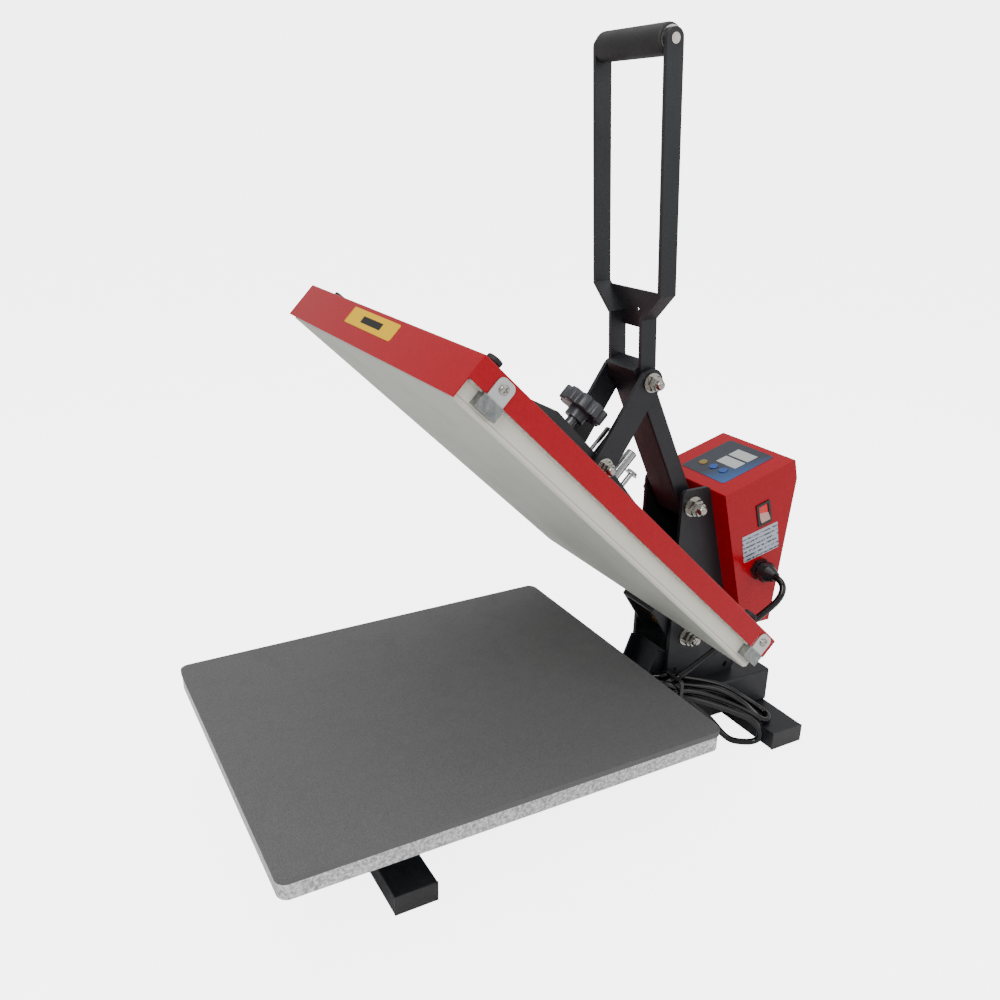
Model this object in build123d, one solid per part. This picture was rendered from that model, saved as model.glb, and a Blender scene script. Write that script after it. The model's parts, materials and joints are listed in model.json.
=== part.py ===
"""Manual clamshell heat press with a 400 x 500 mm bed, shown fully open.

Frame: millimetres, +Z up, +X to the operator's right, -Y towards the operator.
The origin is on the bench, under the middle of the whole machine.
"""
from build123d import *
from math import acos, atan2, cos, degrees, hypot, pi, radians, sin, sqrt, tan
import os

os.makedirs("parts", exist_ok=True)

# ---------------------------------------------------------------- driving sizes
# Clearances
RUN_GAP = 0.05            # radial gap of a pin in the hole it turns in
LOOSE_GAP = 0.25          # radial gap of a bolt in a plain hole
SIDE_GAP = 0.4            # gap between faces that move past each other
SEAT_GAP = 0.2            # gap round a piece that is set into an opening

# Base frame
BED_WIDTH = 400.0
BED_LENGTH = 500.0
BED_CENTRE_Y = -105.0
PAD_THICK = 6.5
PAD_OVERHANG = 1.0
BED_PLATE_THICK = 18.0
BED_CORNER_R = 11.0
CROSSBAR_DEPTH = 48.5
CROSSBAR_HEIGHT = 23.25
CROSSBAR_WALL = 2.0
FRONT_CROSSBAR_LENGTH = 324.0
REAR_CROSSBAR_LENGTH = 250.0
FRONT_CROSSBAR_Y = -206.0
CAP_THICK = 2.0
CAP_PLUG_DEPTH = 10.0
BEAM_WIDTH = 118.0
BEAM_HEIGHT = 47.0
BEAM_WALL = 3.0
BEAM_FRONT_Y = -230.0
FRAME_REAR_Y = 355.0
SUPPORT_HEIGHT = 32.0
SUPPORT_DEPTH = 40.0
SUPPORT_LENGTH = 180.0
SUPPORT_WALL = 3.0
FRONT_SUPPORT_Y = -205.0
REAR_SUPPORT_Y = -5.0
BASE_BOLT_X = 42.0
BED_BOLT_X = 75.0
BED_BOLT_DEPTH = 11.0

# Upright side plates and the brace between them
UPRIGHT_THICK = 5.0
UPRIGHT_INSIDE_X = 31.5
UPRIGHT_FRONT_Y = 201.0
UPRIGHT_TOP_Z = 338.0
UPRIGHT_CORNER_R = 5.0
BRACE_HALF_WIDTH = 27.5
BRACE_THICK = 3.0
BRACE_FLANGE = 16.0
BRACE_FOOT_Y = 188.0
BRACE_TOP_Y = 206.0
BRACE_TOP_Z = 117.0

# Linkage, in the open position
OPEN_ANGLE = 44.0
ARM_PIVOT = (227.8, 140.8)          # (Y, Z) of the rear hinge of the heating head
LEVER_PIVOT = (216.7, 317.4)        # (Y, Z) of the hinge of the lever
LINK_FOOT = (84.0, 386.5)           # (Y, Z) where the links meet the arm
LEVER_RADIUS = 175.5                # lever pivot to link pin
DEAD_CENTRE_SHORTFALL = 6.0         # degrees short of straight when closed
PIVOT_BOLT_R = 6.0
LINK_BOLT_R = 5.0

# Lever, bars and links
TUBE_HALF_WIDTH = 24.9
TUBE_DEPTH = 21.0
TUBE_WALL = 2.5
TUBE_BELOW_PIVOT = 14.0
TUBE_PAST_PIN = 17.0
TUBE_CAP_THICK = 2.5
BAR_WIDTH = 20.0
BAR_THICK = 5.0
BAR_INSIDE_X = 25.0
BAR_SPREAD_X = 55.0
BAR_LEAN = 3.8
BAR_BELOW_PIN = 12.0
BAR_BEND_START = 70.0
BAR_BEND_END = 98.7
GRIP_HEIGHT = 337.5                 # link pin to grip axis, along the bars
GRIP_R = 15.0
GRIP_ROD_R = 5.0
GRIP_WASHER_THICK = 1.5
GRIP_WASHER_R = 12.0
WEB_THICK = 3.0
WEB_BOTTOM = 54.0
WEB_TOP = 95.0
LINK_WIDTH = 30.0
LINK_THICK = 5.0

# Heating head, given as it lies when the press is closed
HEAD_GAP = 11.5                     # heating plate above the pad, before it is screwed down
HEAD_REAR_Y = 148.0
HEAD_LENGTH = 496.0
COVER_HALF_WIDTH = 204.7
COVER_THICK = 1.2
COVER_TOP = 42.8                    # heights are above the heating plate's lower face
FRONT_SKIRT_BOTTOM = 0.4
SIDE_SKIRT_BOTTOM = 20.4
PLATE_HALF_WIDTH = 196.7
PLATE_THICK = 19.0
PLATE_REAR_OVERHANG = 1.2
ELEMENT_R = 4.0
BOARD_THICK = 12.0
BRACKET_THICK = 1.5
BRACKET_WIDTH = 20.0
BRACKET_BLOCK_WIDTH = 25.0
BRACKET_INSET = 20.0
BRACKET_BLOCK_LOW = 7.0
BUMPER_X = 178.0
BUMPER_INSET = 25.0
BUMPER_HEIGHT = 9.0
BRIDGE_THICK = 6.0
BRIDGE_HALF_WIDTH = 45.0
BRIDGE_FRONT = 225.0                # along the head from its front edge
BRIDGE_REAR = 385.0
SPACER_R = 9.0

# Arm, spindle and guides; stations are measured along the head from its front edge
ARM_HALF_WIDTH = 30.0
ARM_WALL = 4.0
ARM_FRONT = 211.0
ARM_TOP_FRONT = 89.0
ARM_TOP_MID = 83.3
ARM_MID = 331.0
ARM_BOTTOM = 56.0
ARM_BOSS_R = 22.0
SPINDLE_STATION = 254.0
SPINDLE_R = 6.0
POST_STATIONS = (306.0, 351.0)
POST_R = 6.6
POST_TOP = 124.0
STOP_BOLT_STATION = 370.0
STOP_BOLT_R = 3.0
STOP_BOLT_HEAD_TOP = 108.0
NUT_FLANGE_THICK = 3.0
KNOB_BASE = 102.0
KNOB_HUB_HEIGHT = 13.0
KNOB_HUB_R = 12.0
KNOB_R = 28.5
KNOB_DISC_HEIGHT = 13.0
KNOB_LOBES = 9

# Control box
BOX_HALF_WIDTH = 62.7
BOX_TILT = 15.5                     # slope of the panel, and lean of the front face
BOX_FRONT_TOP = (241.3, 334.7)      # (Y, Z) of the panel's front edge
BOX_PANEL_LENGTH = 109.5
BOX_LIP = 26.0
BOX_BOTTOM_Z = 150.0
BOX_BACK_SLOPE = 4.9
BOX_WALL = 1.2
OVERLAY_HALF_WIDTH = 38.5
OVERLAY_START = 18.0
OVERLAY_LENGTH = 81.0
OVERLAY_THICK = 0.5
DISPLAY_SIZE = (34.0, 16.5)
DISPLAY_X = 6.0
DISPLAY_STATIONS = (59.0, 79.0)
KEY_STATION = 39.0
MODE_KEY_X = -21.0
UP_KEY_X = -2.0
DOWN_KEY_X = 15.0
KEY_R = 5.5
KEY_PROUD = 1.2
KEY_TRAVEL = 0.6
BOARD_DEPTH = 11.0
PCB_THICK = 1.6
SWITCH_SIZE = (21.0, 30.0)
SWITCH_CENTRE = (305.5, 301.7)      # (Y, Z)
SWITCH_ROCK = 8.0
LABEL_SIZE = (56.0, 36.0)
LABEL_CENTRE = (306.6, 263.3)       # (Y, Z)
GLAND_CENTRE = (308.5, 228.0)       # (Y, Z)
GLAND_LENGTH = 29.5
GLAND_AF = 24.0

# Mains cord
CORD_R = 4.0

# ---------------------------------------------------------------- derived sizes
BEAM_BOTTOM_Z = CROSSBAR_HEIGHT
BEAM_TOP_Z = BEAM_BOTTOM_Z + BEAM_HEIGHT
BED_BOTTOM_Z = BEAM_TOP_Z + SUPPORT_HEIGHT
PAD_BOTTOM_Z = BED_BOTTOM_Z + BED_PLATE_THICK
PAD_TOP_Z = PAD_BOTTOM_Z + PAD_THICK
REAR_CROSSBAR_Y = FRAME_REAR_Y - CROSSBAR_DEPTH / 2
UPRIGHT_OUTSIDE_X = UPRIGHT_INSIDE_X + UPRIGHT_THICK
HEAD_BOTTOM_Z = PAD_TOP_Z + HEAD_GAP
HEAD_FRONT_Y = HEAD_REAR_Y - HEAD_LENGTH
LINK_INSIDE_X = UPRIGHT_INSIDE_X
LINK_OUTSIDE_X = LINK_INSIDE_X + LINK_THICK
BAR_OUTSIDE_X = BAR_INSIDE_X + BAR_THICK


def turned(point, centre, angle):
    """A (Y, Z) point turned about a (Y, Z) centre, positive from +Y towards +Z."""
    dy = point[0] - centre[0]
    dz = point[1] - centre[1]
    a = radians(angle)
    return (centre[0] + dy * cos(a) - dz * sin(a), centre[1] + dy * sin(a) + dz * cos(a))


def link_length():
    """Link length that leaves the closed toggle a few degrees short of straight."""
    foot = turned(LINK_FOOT, ARM_PIVOT, OPEN_ANGLE)
    reach = hypot(foot[0] - LEVER_PIVOT[0], foot[1] - LEVER_PIVOT[1])
    bend = radians(DEAD_CENTRE_SHORTFALL)
    return sqrt(reach ** 2 - (LEVER_RADIUS * sin(bend)) ** 2) - LEVER_RADIUS * cos(bend)


def link_pin():
    """The link pin in the open position: where the lever's and the links' circles meet."""
    dy = LINK_FOOT[0] - LEVER_PIVOT[0]
    dz = LINK_FOOT[1] - LEVER_PIVOT[1]
    span = hypot(dy, dz)
    cosine = (LEVER_RADIUS ** 2 + span ** 2 - link_length() ** 2) / (2 * LEVER_RADIUS * span)
    angle = atan2(dz, dy) - acos(cosine)
    return (LEVER_PIVOT[0] + LEVER_RADIUS * cos(angle), LEVER_PIVOT[1] + LEVER_RADIUS * sin(angle))


LINK_PIN = link_pin()
LEVER_ANGLE = degrees(atan2(LEVER_PIVOT[0] - LINK_PIN[0], LINK_PIN[1] - LEVER_PIVOT[1]))


# ---------------------------------------------------------------- drawing helpers
def block(x, y, z):
    """A box from its three (low, high) spans."""
    size = Box(x[1] - x[0], y[1] - y[0], z[1] - z[0])
    return Pos(sum(x) / 2, sum(y) / 2, sum(z) / 2) * size


def rod_x(at, radius, x0, x1):
    """A round bar along X through the (Y, Z) point."""
    return Pos((x0 + x1) / 2, at[0], at[1]) * Rot(0, 90, 0) * Cylinder(radius, abs(x1 - x0))


def rod_z(x, y, radius, z0, z1):
    """A round bar along Z through the (X, Y) point."""
    return Pos(x, y, (z0 + z1) / 2) * Cylinder(radius, z1 - z0)


def hex_x(at, across_flats, x0, x1):
    """A hexagonal bar along X through the (Y, Z) point."""
    profile = Plane.YZ.offset(x0) * Pos(at[0], at[1]) * hexagon(across_flats)
    return extrude(profile, x1 - x0)


def hex_z(x, y, across_flats, z0, z1):
    """A hexagonal bar along Z through the (X, Y) point."""
    return extrude(Pos(x, y, z0) * hexagon(across_flats), z1 - z0)


def hexagon(across_flats):
    return RegularPolygon(across_flats / 2, 6, major_radius=False)


def outline(points, corner=0.0):
    """A closed flat outline with all its corners rounded alike."""
    face = make_face(Polyline(*points, close=True))
    if corner:
        face = fillet(face.vertices(), corner)
    return face


def side_plate(profile, x0, x1):
    """A flat (Y, Z) profile made solid between two X positions."""
    return extrude(Plane.YZ.offset(x0) * profile, x1 - x0)


def mirrored(shape):
    return mirror(shape, Plane.YZ)


def both_sides(shape):
    return [shape, mirrored(shape)]


def dome_nut_x(at, across_flats, x0, height):
    """A cap nut whose flat face is at x0; it points along +X."""
    skirt = hex_x(at, across_flats, x0, x0 + height * 0.5)
    cap_r = across_flats * 0.42
    cap = rod_x(at, cap_r, x0 + height * 0.5, x0 + height)
    return skirt + fillet(cap.edges().group_by(Axis.X)[-1], cap_r * 0.6)


def washer_x(at, hole_r, outer_r, x0, x1):
    return rod_x(at, outer_r, x0, x1) - rod_x(at, hole_r, x0 - 1, x1 + 1)


def washer_z(x, y, hole_r, outer_r, z0, z1):
    return rod_z(x, y, outer_r, z0, z1) - rod_z(x, y, hole_r, z0 - 1, z1 + 1)


def save(name, *solids):
    shape = solids[0] if len(solids) == 1 else Compound(children=list(solids))
    export_step(shape, f"parts/{name}.step")


# ---------------------------------------------------------------- base frame
BASE_BOLT_R = 4.0
BASE_BOLT_AF = 13.0
BASE_BOLT_HEAD = 5.5


def crossbar(length, y):
    half = length / 2 - CAP_THICK
    depth = (y - CROSSBAR_DEPTH / 2, y + CROSSBAR_DEPTH / 2)
    bar = block((-half, half), depth, (0, CROSSBAR_HEIGHT))
    bar = fillet(bar.edges().filter_by(Axis.X), 1.5)
    inner = (depth[0] + CROSSBAR_WALL, depth[1] - CROSSBAR_WALL)
    bar -= block((-half - 1, half + 1), inner, (CROSSBAR_WALL, CROSSBAR_HEIGHT - CROSSBAR_WALL))
    for x in (-BASE_BOLT_X, BASE_BOLT_X):
        bar -= rod_z(x, y, BASE_BOLT_AF * 0.75, -1, CROSSBAR_WALL + 1)
        bar -= rod_z(x, y, BASE_BOLT_R + LOOSE_GAP, CROSSBAR_WALL, CROSSBAR_HEIGHT + 1)
    return bar


def crossbar_caps(length, y):
    half = length / 2
    depth = (y - CROSSBAR_DEPTH / 2, y + CROSSBAR_DEPTH / 2)
    face = block((half - CAP_THICK, half), depth, (0, CROSSBAR_HEIGHT))
    inset = CROSSBAR_WALL + SEAT_GAP
    plug_start = half - CAP_THICK - CAP_PLUG_DEPTH
    plug = block((plug_start, half - CAP_THICK), (depth[0] + inset, depth[1] - inset),
                 (inset, CROSSBAR_HEIGHT - inset))
    return both_sides(face + plug)


def main_beam():
    half = BEAM_WIDTH / 2
    span = (BEAM_FRONT_Y, FRAME_REAR_Y)
    height = (BEAM_BOTTOM_Z, BEAM_TOP_Z)
    beam = block((-half, half), span, height)
    beam = fillet(beam.edges().filter_by(Axis.Y), 3.0)
    beam -= block((-half + BEAM_WALL, half - BEAM_WALL), (span[0] + BEAM_WALL, span[1] - BEAM_WALL),
                  (height[0] + BEAM_WALL, height[1] - BEAM_WALL))
    hole = BASE_BOLT_R + LOOSE_GAP
    for x in (-BASE_BOLT_X, BASE_BOLT_X):
        for y in (FRONT_CROSSBAR_Y, REAR_CROSSBAR_Y):
            beam -= rod_z(x, y, hole, height[0] - 1, height[0] + BEAM_WALL + 1)
        for y in (FRONT_SUPPORT_Y, REAR_SUPPORT_Y):
            beam -= rod_z(x, y, hole, height[1] - BEAM_WALL - 1, height[1] + 1)
    return beam


def frame_bolt(x, y, head_z, grip):
    """A hexagon bolt pointing up from head_z, with a nut above the grip length."""
    head = hex_z(x, y, BASE_BOLT_AF, head_z - BASE_BOLT_HEAD, head_z)
    shank = rod_z(x, y, BASE_BOLT_R, head_z, head_z + grip + 9)
    nut = hex_z(x, y, BASE_BOLT_AF, head_z + grip, head_z + grip + 6.5)
    nut -= rod_z(x, y, BASE_BOLT_R + RUN_GAP, head_z, head_z + grip + 10)
    return [head + shank, nut]


def crossbar_bolts():
    solids = []
    for x in (-BASE_BOLT_X, BASE_BOLT_X):
        for y in (FRONT_CROSSBAR_Y, REAR_CROSSBAR_Y):
            solids += frame_bolt(x, y, CROSSBAR_HEIGHT - CROSSBAR_WALL, CROSSBAR_WALL + BEAM_WALL)
    return solids


def support_bolts():
    solids = []
    for x in (-BASE_BOLT_X, BASE_BOLT_X):
        for y in (FRONT_SUPPORT_Y, REAR_SUPPORT_Y):
            solids += frame_bolt(x, y, BEAM_TOP_Z - BEAM_WALL, BEAM_WALL + SUPPORT_WALL)
    return solids


def bed_support(y):
    half = SUPPORT_LENGTH / 2
    depth = (y - SUPPORT_DEPTH / 2, y + SUPPORT_DEPTH / 2)
    tube = block((-half, half), depth, (BEAM_TOP_Z, BED_BOTTOM_Z))
    tube -= block((-half - 1, half + 1), (depth[0] + SUPPORT_WALL, depth[1] - SUPPORT_WALL),
                  (BEAM_TOP_Z + SUPPORT_WALL, BED_BOTTOM_Z - SUPPORT_WALL))
    hole = BASE_BOLT_R + LOOSE_GAP
    for side in (-1, 1):
        tube -= rod_z(side * BASE_BOLT_X, y, hole, BEAM_TOP_Z - 1, BEAM_TOP_Z + SUPPORT_WALL + 1)
        tube -= rod_z(side * BED_BOLT_X, y, hole, BED_BOTTOM_Z - SUPPORT_WALL - 1, BED_BOTTOM_Z + 1)
    return tube


def bed_bolts():
    solids = []
    head_z = BED_BOTTOM_Z - SUPPORT_WALL
    for x in (-BED_BOLT_X, BED_BOLT_X):
        for y in (FRONT_SUPPORT_Y, REAR_SUPPORT_Y):
            head = hex_z(x, y, BASE_BOLT_AF, head_z - BASE_BOLT_HEAD, head_z)
            tip = BED_BOTTOM_Z + BED_BOLT_DEPTH - 1
            solids.append(head + rod_z(x, y, BASE_BOLT_R, head_z, tip))
    return solids


def bed_slab(width, length, z0, z1):
    slab = extrude(Pos(0, BED_CENTRE_Y, z0) * RectangleRounded(width, length, BED_CORNER_R), z1 - z0)
    return slab


def lower_platen():
    slab = bed_slab(BED_WIDTH - 2 * PAD_OVERHANG, BED_LENGTH - 2 * PAD_OVERHANG,
                    BED_BOTTOM_Z, PAD_BOTTOM_Z)
    for x in (-BED_BOLT_X, BED_BOLT_X):
        for y in (FRONT_SUPPORT_Y, REAR_SUPPORT_Y):
            slab -= rod_z(x, y, BASE_BOLT_R + RUN_GAP, BED_BOTTOM_Z - 1, BED_BOTTOM_Z + BED_BOLT_DEPTH)
    return slab


# ---------------------------------------------------------------- uprights and pivots
def box_line_y(z):
    """Y of the box's front face, which is also the uprights' rear edge, at height z."""
    return BOX_FRONT_TOP[0] + (BOX_FRONT_TOP[1] - z) * tan(radians(BOX_TILT))


def upright(x0, x1):
    corner_z = UPRIGHT_TOP_Z - UPRIGHT_CORNER_R
    points = [(UPRIGHT_FRONT_Y, BEAM_TOP_Z), (UPRIGHT_FRONT_Y, UPRIGHT_TOP_Z),
              (box_line_y(UPRIGHT_TOP_Z), UPRIGHT_TOP_Z), (box_line_y(BEAM_TOP_Z), BEAM_TOP_Z)]
    profile = make_face(Polyline(*points, close=True))
    top = profile.vertices().filter_by_position(Axis.Y, corner_z, UPRIGHT_TOP_Z + 1)
    plate = side_plate(fillet(top, UPRIGHT_CORNER_R), x0, x1)
    plate -= rod_x(LEVER_PIVOT, PIVOT_BOLT_R + LOOSE_GAP, x0 - 1, x1 + 1)
    plate -= rod_x(ARM_PIVOT, PIVOT_BOLT_R + LOOSE_GAP, x0 - 1, x1 + 1)
    plate -= rod_x((UPRIGHT_FRONT_Y + 13, BEAM_TOP_Z + 26), 2.0, x0 - 1, x1 + 1)
    slot = Pos(box_line_y(BEAM_TOP_Z) - 17.5, BEAM_TOP_Z + 10.5) * Rot(0, 0, 60) * SlotOverall(9, 6)
    plate -= side_plate(slot, x0 - 1, x1 + 1)
    plate -= rod_x((box_line_y(BEAM_TOP_Z), BEAM_TOP_Z + 2.5), 5.0, x0 - 1, x1 + 1)
    return plate


def front_brace():
    """A folded channel between the uprights, its flanges towards the operator."""
    rise = BRACE_TOP_Z - BEAM_TOP_Z
    lean = degrees(atan2(BRACE_TOP_Y - BRACE_FOOT_Y, rise))
    length = hypot(BRACE_TOP_Y - BRACE_FOOT_Y, rise)
    half = BRACE_HALF_WIDTH
    web = block((-half, half), (0, BRACE_THICK), (-5, length))
    flange = block((half - BRACE_THICK, half), (-BRACE_FLANGE, BRACE_THICK), (-5, length))
    channel = web + flange + mirrored(flange)
    channel = Pos(0, BRACE_FOOT_Y, BEAM_TOP_Z) * Rot(-lean, 0, 0) * channel
    return channel - block((-half - 1, half + 1), (100, 260), (BEAM_TOP_Z - 20, BEAM_TOP_Z))


def through_bolt(at, radius, across_flats, hold_x, washer_r):
    """A bolt along X: head and washer on the left, washer, nut and cap nut on the right."""
    washer = 2.0
    head_x = hold_x + washer
    nut_height = radius * 1.3
    shank = rod_x(at, radius, -head_x, head_x + nut_height + 2)
    head = hex_x(at, across_flats, -head_x - radius * 1.2, -head_x)
    nut = hex_x(at, across_flats, head_x, head_x + nut_height)
    nut -= rod_x(at, radius + RUN_GAP, head_x - 1, head_x + nut_height + 1)
    cap = dome_nut_x(at, across_flats * 0.8, head_x + nut_height, radius * 1.9)
    cap -= rod_x(at, radius + RUN_GAP, head_x, head_x + nut_height + 2 + RUN_GAP)
    ring = washer_x(at, radius + RUN_GAP, washer_r, hold_x, head_x)
    return [shank + head, nut, cap, ring, mirrored(ring)]


def pivot_spacers(at, inside_x):
    """Rings that fill the gap between the uprights and what turns between them."""
    ring = washer_x(at, PIVOT_BOLT_R + RUN_GAP, 10.0, inside_x + SIDE_GAP, UPRIGHT_INSIDE_X)
    return both_sides(ring)


# ---------------------------------------------------------------- lever and links
def in_lever(shape):
    """Place a shape drawn upright on the lever pivot, along the lever tube."""
    return Pos(0, LEVER_PIVOT[0], LEVER_PIVOT[1]) * Rot(LEVER_ANGLE, 0, 0) * shape


def in_handle(shape):
    """Place a shape drawn upright on the link pin, along the handle bars."""
    return Pos(0, LINK_PIN[0], LINK_PIN[1]) * Rot(BAR_LEAN, 0, 0) * shape


def lever_tube():
    depth = TUBE_DEPTH / 2
    top = LEVER_RADIUS + TUBE_PAST_PIN
    outer = Plane.YZ.offset(-TUBE_HALF_WIDTH) * outline(
        [(-depth, -TUBE_BELOW_PIVOT), (depth, -TUBE_BELOW_PIVOT), (depth, top), (-depth, top)])
    tube = extrude(outer, 2 * TUBE_HALF_WIDTH)
    tube = fillet(tube.edges().filter_by(Axis.Z), 2.0)
    inner = (-TUBE_HALF_WIDTH + TUBE_WALL, TUBE_HALF_WIDTH - TUBE_WALL)
    tube -= block(inner, (-depth + TUBE_WALL, depth - TUBE_WALL), (-TUBE_BELOW_PIVOT - 1, top + 1))
    reach = TUBE_HALF_WIDTH + 1
    tube -= rod_x((0, 0), PIVOT_BOLT_R + 2 + SEAT_GAP, -reach, reach)
    tube -= rod_x((0, LEVER_RADIUS), LINK_BOLT_R + RUN_GAP, -reach, reach)
    return in_lever(tube)


def lever_sleeve():
    """The bush pressed through the tube, which turns on the pivot bolt."""
    sleeve = rod_x((0, 0), PIVOT_BOLT_R + 2, -TUBE_HALF_WIDTH - 0.2, TUBE_HALF_WIDTH + 0.2)
    sleeve -= rod_x((0, 0), PIVOT_BOLT_R + RUN_GAP, -TUBE_HALF_WIDTH - 1, TUBE_HALF_WIDTH + 1)
    return in_lever(sleeve)


def lever_tube_cap():
    depth = TUBE_DEPTH / 2
    base = LEVER_RADIUS + TUBE_PAST_PIN
    half = TUBE_HALF_WIDTH
    cap = block((-half, half), (-depth, depth), (base, base + TUBE_CAP_THICK))
    cap = fillet(cap.edges().group_by(Axis.Z)[-1], 1.0)
    inset = TUBE_WALL + SEAT_GAP
    plug = block((-half + inset, half - inset), (-depth + inset, depth - inset), (base - 6, base))
    return in_lever(cap + plug)


def handle_bar():
    """The right bar: straight beside the tube, then bent out wide, round at both ends."""
    top = GRIP_HEIGHT + BAR_WIDTH / 2
    inner = [(BAR_INSIDE_X, -BAR_BELOW_PIN), (BAR_INSIDE_X, BAR_BEND_START),
             (BAR_SPREAD_X, BAR_BEND_END), (BAR_SPREAD_X, top)]
    shift = BAR_THICK * tan(radians(23))
    outer = [(BAR_SPREAD_X + BAR_THICK, top), (BAR_SPREAD_X + BAR_THICK, BAR_BEND_END - shift),
             (BAR_OUTSIDE_X, BAR_BEND_START - shift), (BAR_OUTSIDE_X, -BAR_BELOW_PIN)]
    side = outline(inner + outer)
    strip = extrude(Plane.XZ.offset(-BAR_WIDTH / 2) * side, BAR_WIDTH)
    low = BAR_WIDTH / 2 - BAR_BELOW_PIN
    length = GRIP_HEIGHT + BAR_WIDTH / 2 + BAR_BELOW_PIN
    ends = Pos(0, low + (length - BAR_WIDTH) / 2) * Rot(0, 0, 90) * SlotOverall(length, BAR_WIDTH)
    bar = strip & side_plate(ends, 0, BAR_SPREAD_X + BAR_THICK + 1)
    bar -= rod_x((0, 0), LINK_BOLT_R + RUN_GAP, 0, 70)
    bar -= rod_x((0, GRIP_HEIGHT), GRIP_ROD_R + RUN_GAP, 0, 70)
    return in_handle(bar)


def handle_web():
    """The plate between the bars where they spread."""
    slope = (BAR_SPREAD_X - BAR_INSIDE_X) / (BAR_BEND_END - BAR_BEND_START)
    top_half = BAR_INSIDE_X + (WEB_TOP - BAR_BEND_START) * slope
    half = BAR_INSIDE_X
    points = [(-half, WEB_BOTTOM), (half, WEB_BOTTOM), (half, BAR_BEND_START),
              (top_half, WEB_TOP), (-top_half, WEB_TOP), (-half, BAR_BEND_START)]
    rear = BAR_WIDTH / 2
    web = extrude(Plane.XZ.offset(-rear) * outline(points), WEB_THICK)
    web -= Pos(0, 0, WEB_BOTTOM + 20) * Rot(90, 0, 0) * Cylinder(2.5, 4 * rear)
    return in_handle(web)


def handle_grip():
    half = BAR_SPREAD_X - GRIP_WASHER_THICK
    grip = rod_x((0, GRIP_HEIGHT), GRIP_R, -half, half)
    grip = fillet(grip.edges().filter_by(GeomType.CIRCLE), 2.0)
    return in_handle(grip - rod_x((0, GRIP_HEIGHT), GRIP_ROD_R, -half - 1, half + 1))


def grip_rod():
    tip = BAR_SPREAD_X + BAR_THICK + 0.8
    rod = rod_x((0, GRIP_HEIGHT), GRIP_ROD_R, -tip, tip)
    return in_handle(rod)


def grip_washers():
    ring = washer_x((0, GRIP_HEIGHT), GRIP_ROD_R + RUN_GAP, GRIP_WASHER_R,
                    BAR_SPREAD_X - GRIP_WASHER_THICK, BAR_SPREAD_X)
    return both_sides(in_handle(ring))


def link(side):
    """One flat link from the link pin down to the arm."""
    dy = LINK_FOOT[0] - LINK_PIN[0]
    dz = LINK_FOOT[1] - LINK_PIN[1]
    middle = Pos((LINK_PIN[0] + LINK_FOOT[0]) / 2, (LINK_PIN[1] + LINK_FOOT[1]) / 2)
    shape = middle * Rot(0, 0, degrees(atan2(dz, dy))) * SlotCenterToCenter(hypot(dy, dz), LINK_WIDTH)
    bar = side_plate(shape, LINK_INSIDE_X, LINK_OUTSIDE_X)
    bar -= rod_x(LINK_PIN, LINK_BOLT_R + RUN_GAP, LINK_INSIDE_X - 1, LINK_OUTSIDE_X + 1)
    bar -= rod_x(LINK_FOOT, LINK_BOLT_R + RUN_GAP, LINK_INSIDE_X - 1, LINK_OUTSIDE_X + 1)
    return bar if side > 0 else mirrored(bar)


def link_spacers():
    ring = washer_x(LINK_PIN, LINK_BOLT_R + RUN_GAP, 9.0, BAR_OUTSIDE_X, LINK_INSIDE_X - SIDE_GAP)
    return both_sides(ring)


def link_foot_bolts():
    """Short bolts at the links' lower ends; each stops just short of the arm's wall."""
    tip = ARM_HALF_WIDTH + SIDE_GAP
    washer = LINK_OUTSIDE_X + 2
    shank = rod_x(LINK_FOOT, LINK_BOLT_R, tip, washer + 8)
    ring = washer_x(LINK_FOOT, LINK_BOLT_R + RUN_GAP, 11.0, LINK_OUTSIDE_X, washer)
    nut = hex_x(LINK_FOOT, 16.0, washer, washer + 6.5)
    nut -= rod_x(LINK_FOOT, LINK_BOLT_R + RUN_GAP, washer - 1, washer + 7)
    cap = dome_nut_x(LINK_FOOT, 13.0, washer + 6.5, 9.5)
    cap -= rod_x(LINK_FOOT, LINK_BOLT_R + RUN_GAP, washer, washer + 8 + RUN_GAP)
    solids = []
    for piece in (shank, ring, nut, cap):
        solids += both_sides(piece)
    return solids


# ---------------------------------------------------------------- heating head
def opened(shape):
    """Swing a shape that is drawn closed up to the open position."""
    pivot = Axis((0, ARM_PIVOT[0], ARM_PIVOT[1]), (1, 0, 0))
    return shape.rotate(pivot, -OPEN_ANGLE)


def station(s):
    """Y of a point s along the head from its front edge, with the press closed."""
    return HEAD_FRONT_Y + s


def height(h):
    """Z of a point h above the heating plate's lower face, with the press closed."""
    return HEAD_BOTTOM_Z + h


def bracket_stations():
    half = BRACKET_BLOCK_WIDTH / 2
    return (BRACKET_INSET + half, HEAD_LENGTH - 4 - half)


def heating_plate():
    span = (station(COVER_THICK + SEAT_GAP), station(HEAD_LENGTH + PLATE_REAR_OVERHANG))
    half = PLATE_HALF_WIDTH
    plate = block((-half, half), span, (height(0), height(PLATE_THICK)))
    plate = fillet(plate.edges().filter_by(Axis.Z), 6.0)
    plate = chamfer(plate.edges().group_by(Axis.Z)[0], 2.5)
    groove = element_path(ELEMENT_R + SEAT_GAP)
    for x, s in spacer_places():
        plate -= rod_z(x, station(s), 3.0 + RUN_GAP, height(PLATE_THICK - 12), height(PLATE_THICK + 1))
    return opened(plate - groove)


def element_path(radius):
    """A rounded-rectangle loop of tube let half into the heating plate's back."""
    loop = Pos(0, station(HEAD_LENGTH / 2), height(PLATE_THICK)) * RectangleRounded(
        1.4 * PLATE_HALF_WIDTH, HEAD_LENGTH * 0.72, 50)
    wire = loop.wires()[0]
    section = Plane(origin=wire @ 0, z_dir=wire % 0) * Circle(radius)
    return sweep(section, path=wire)


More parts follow.
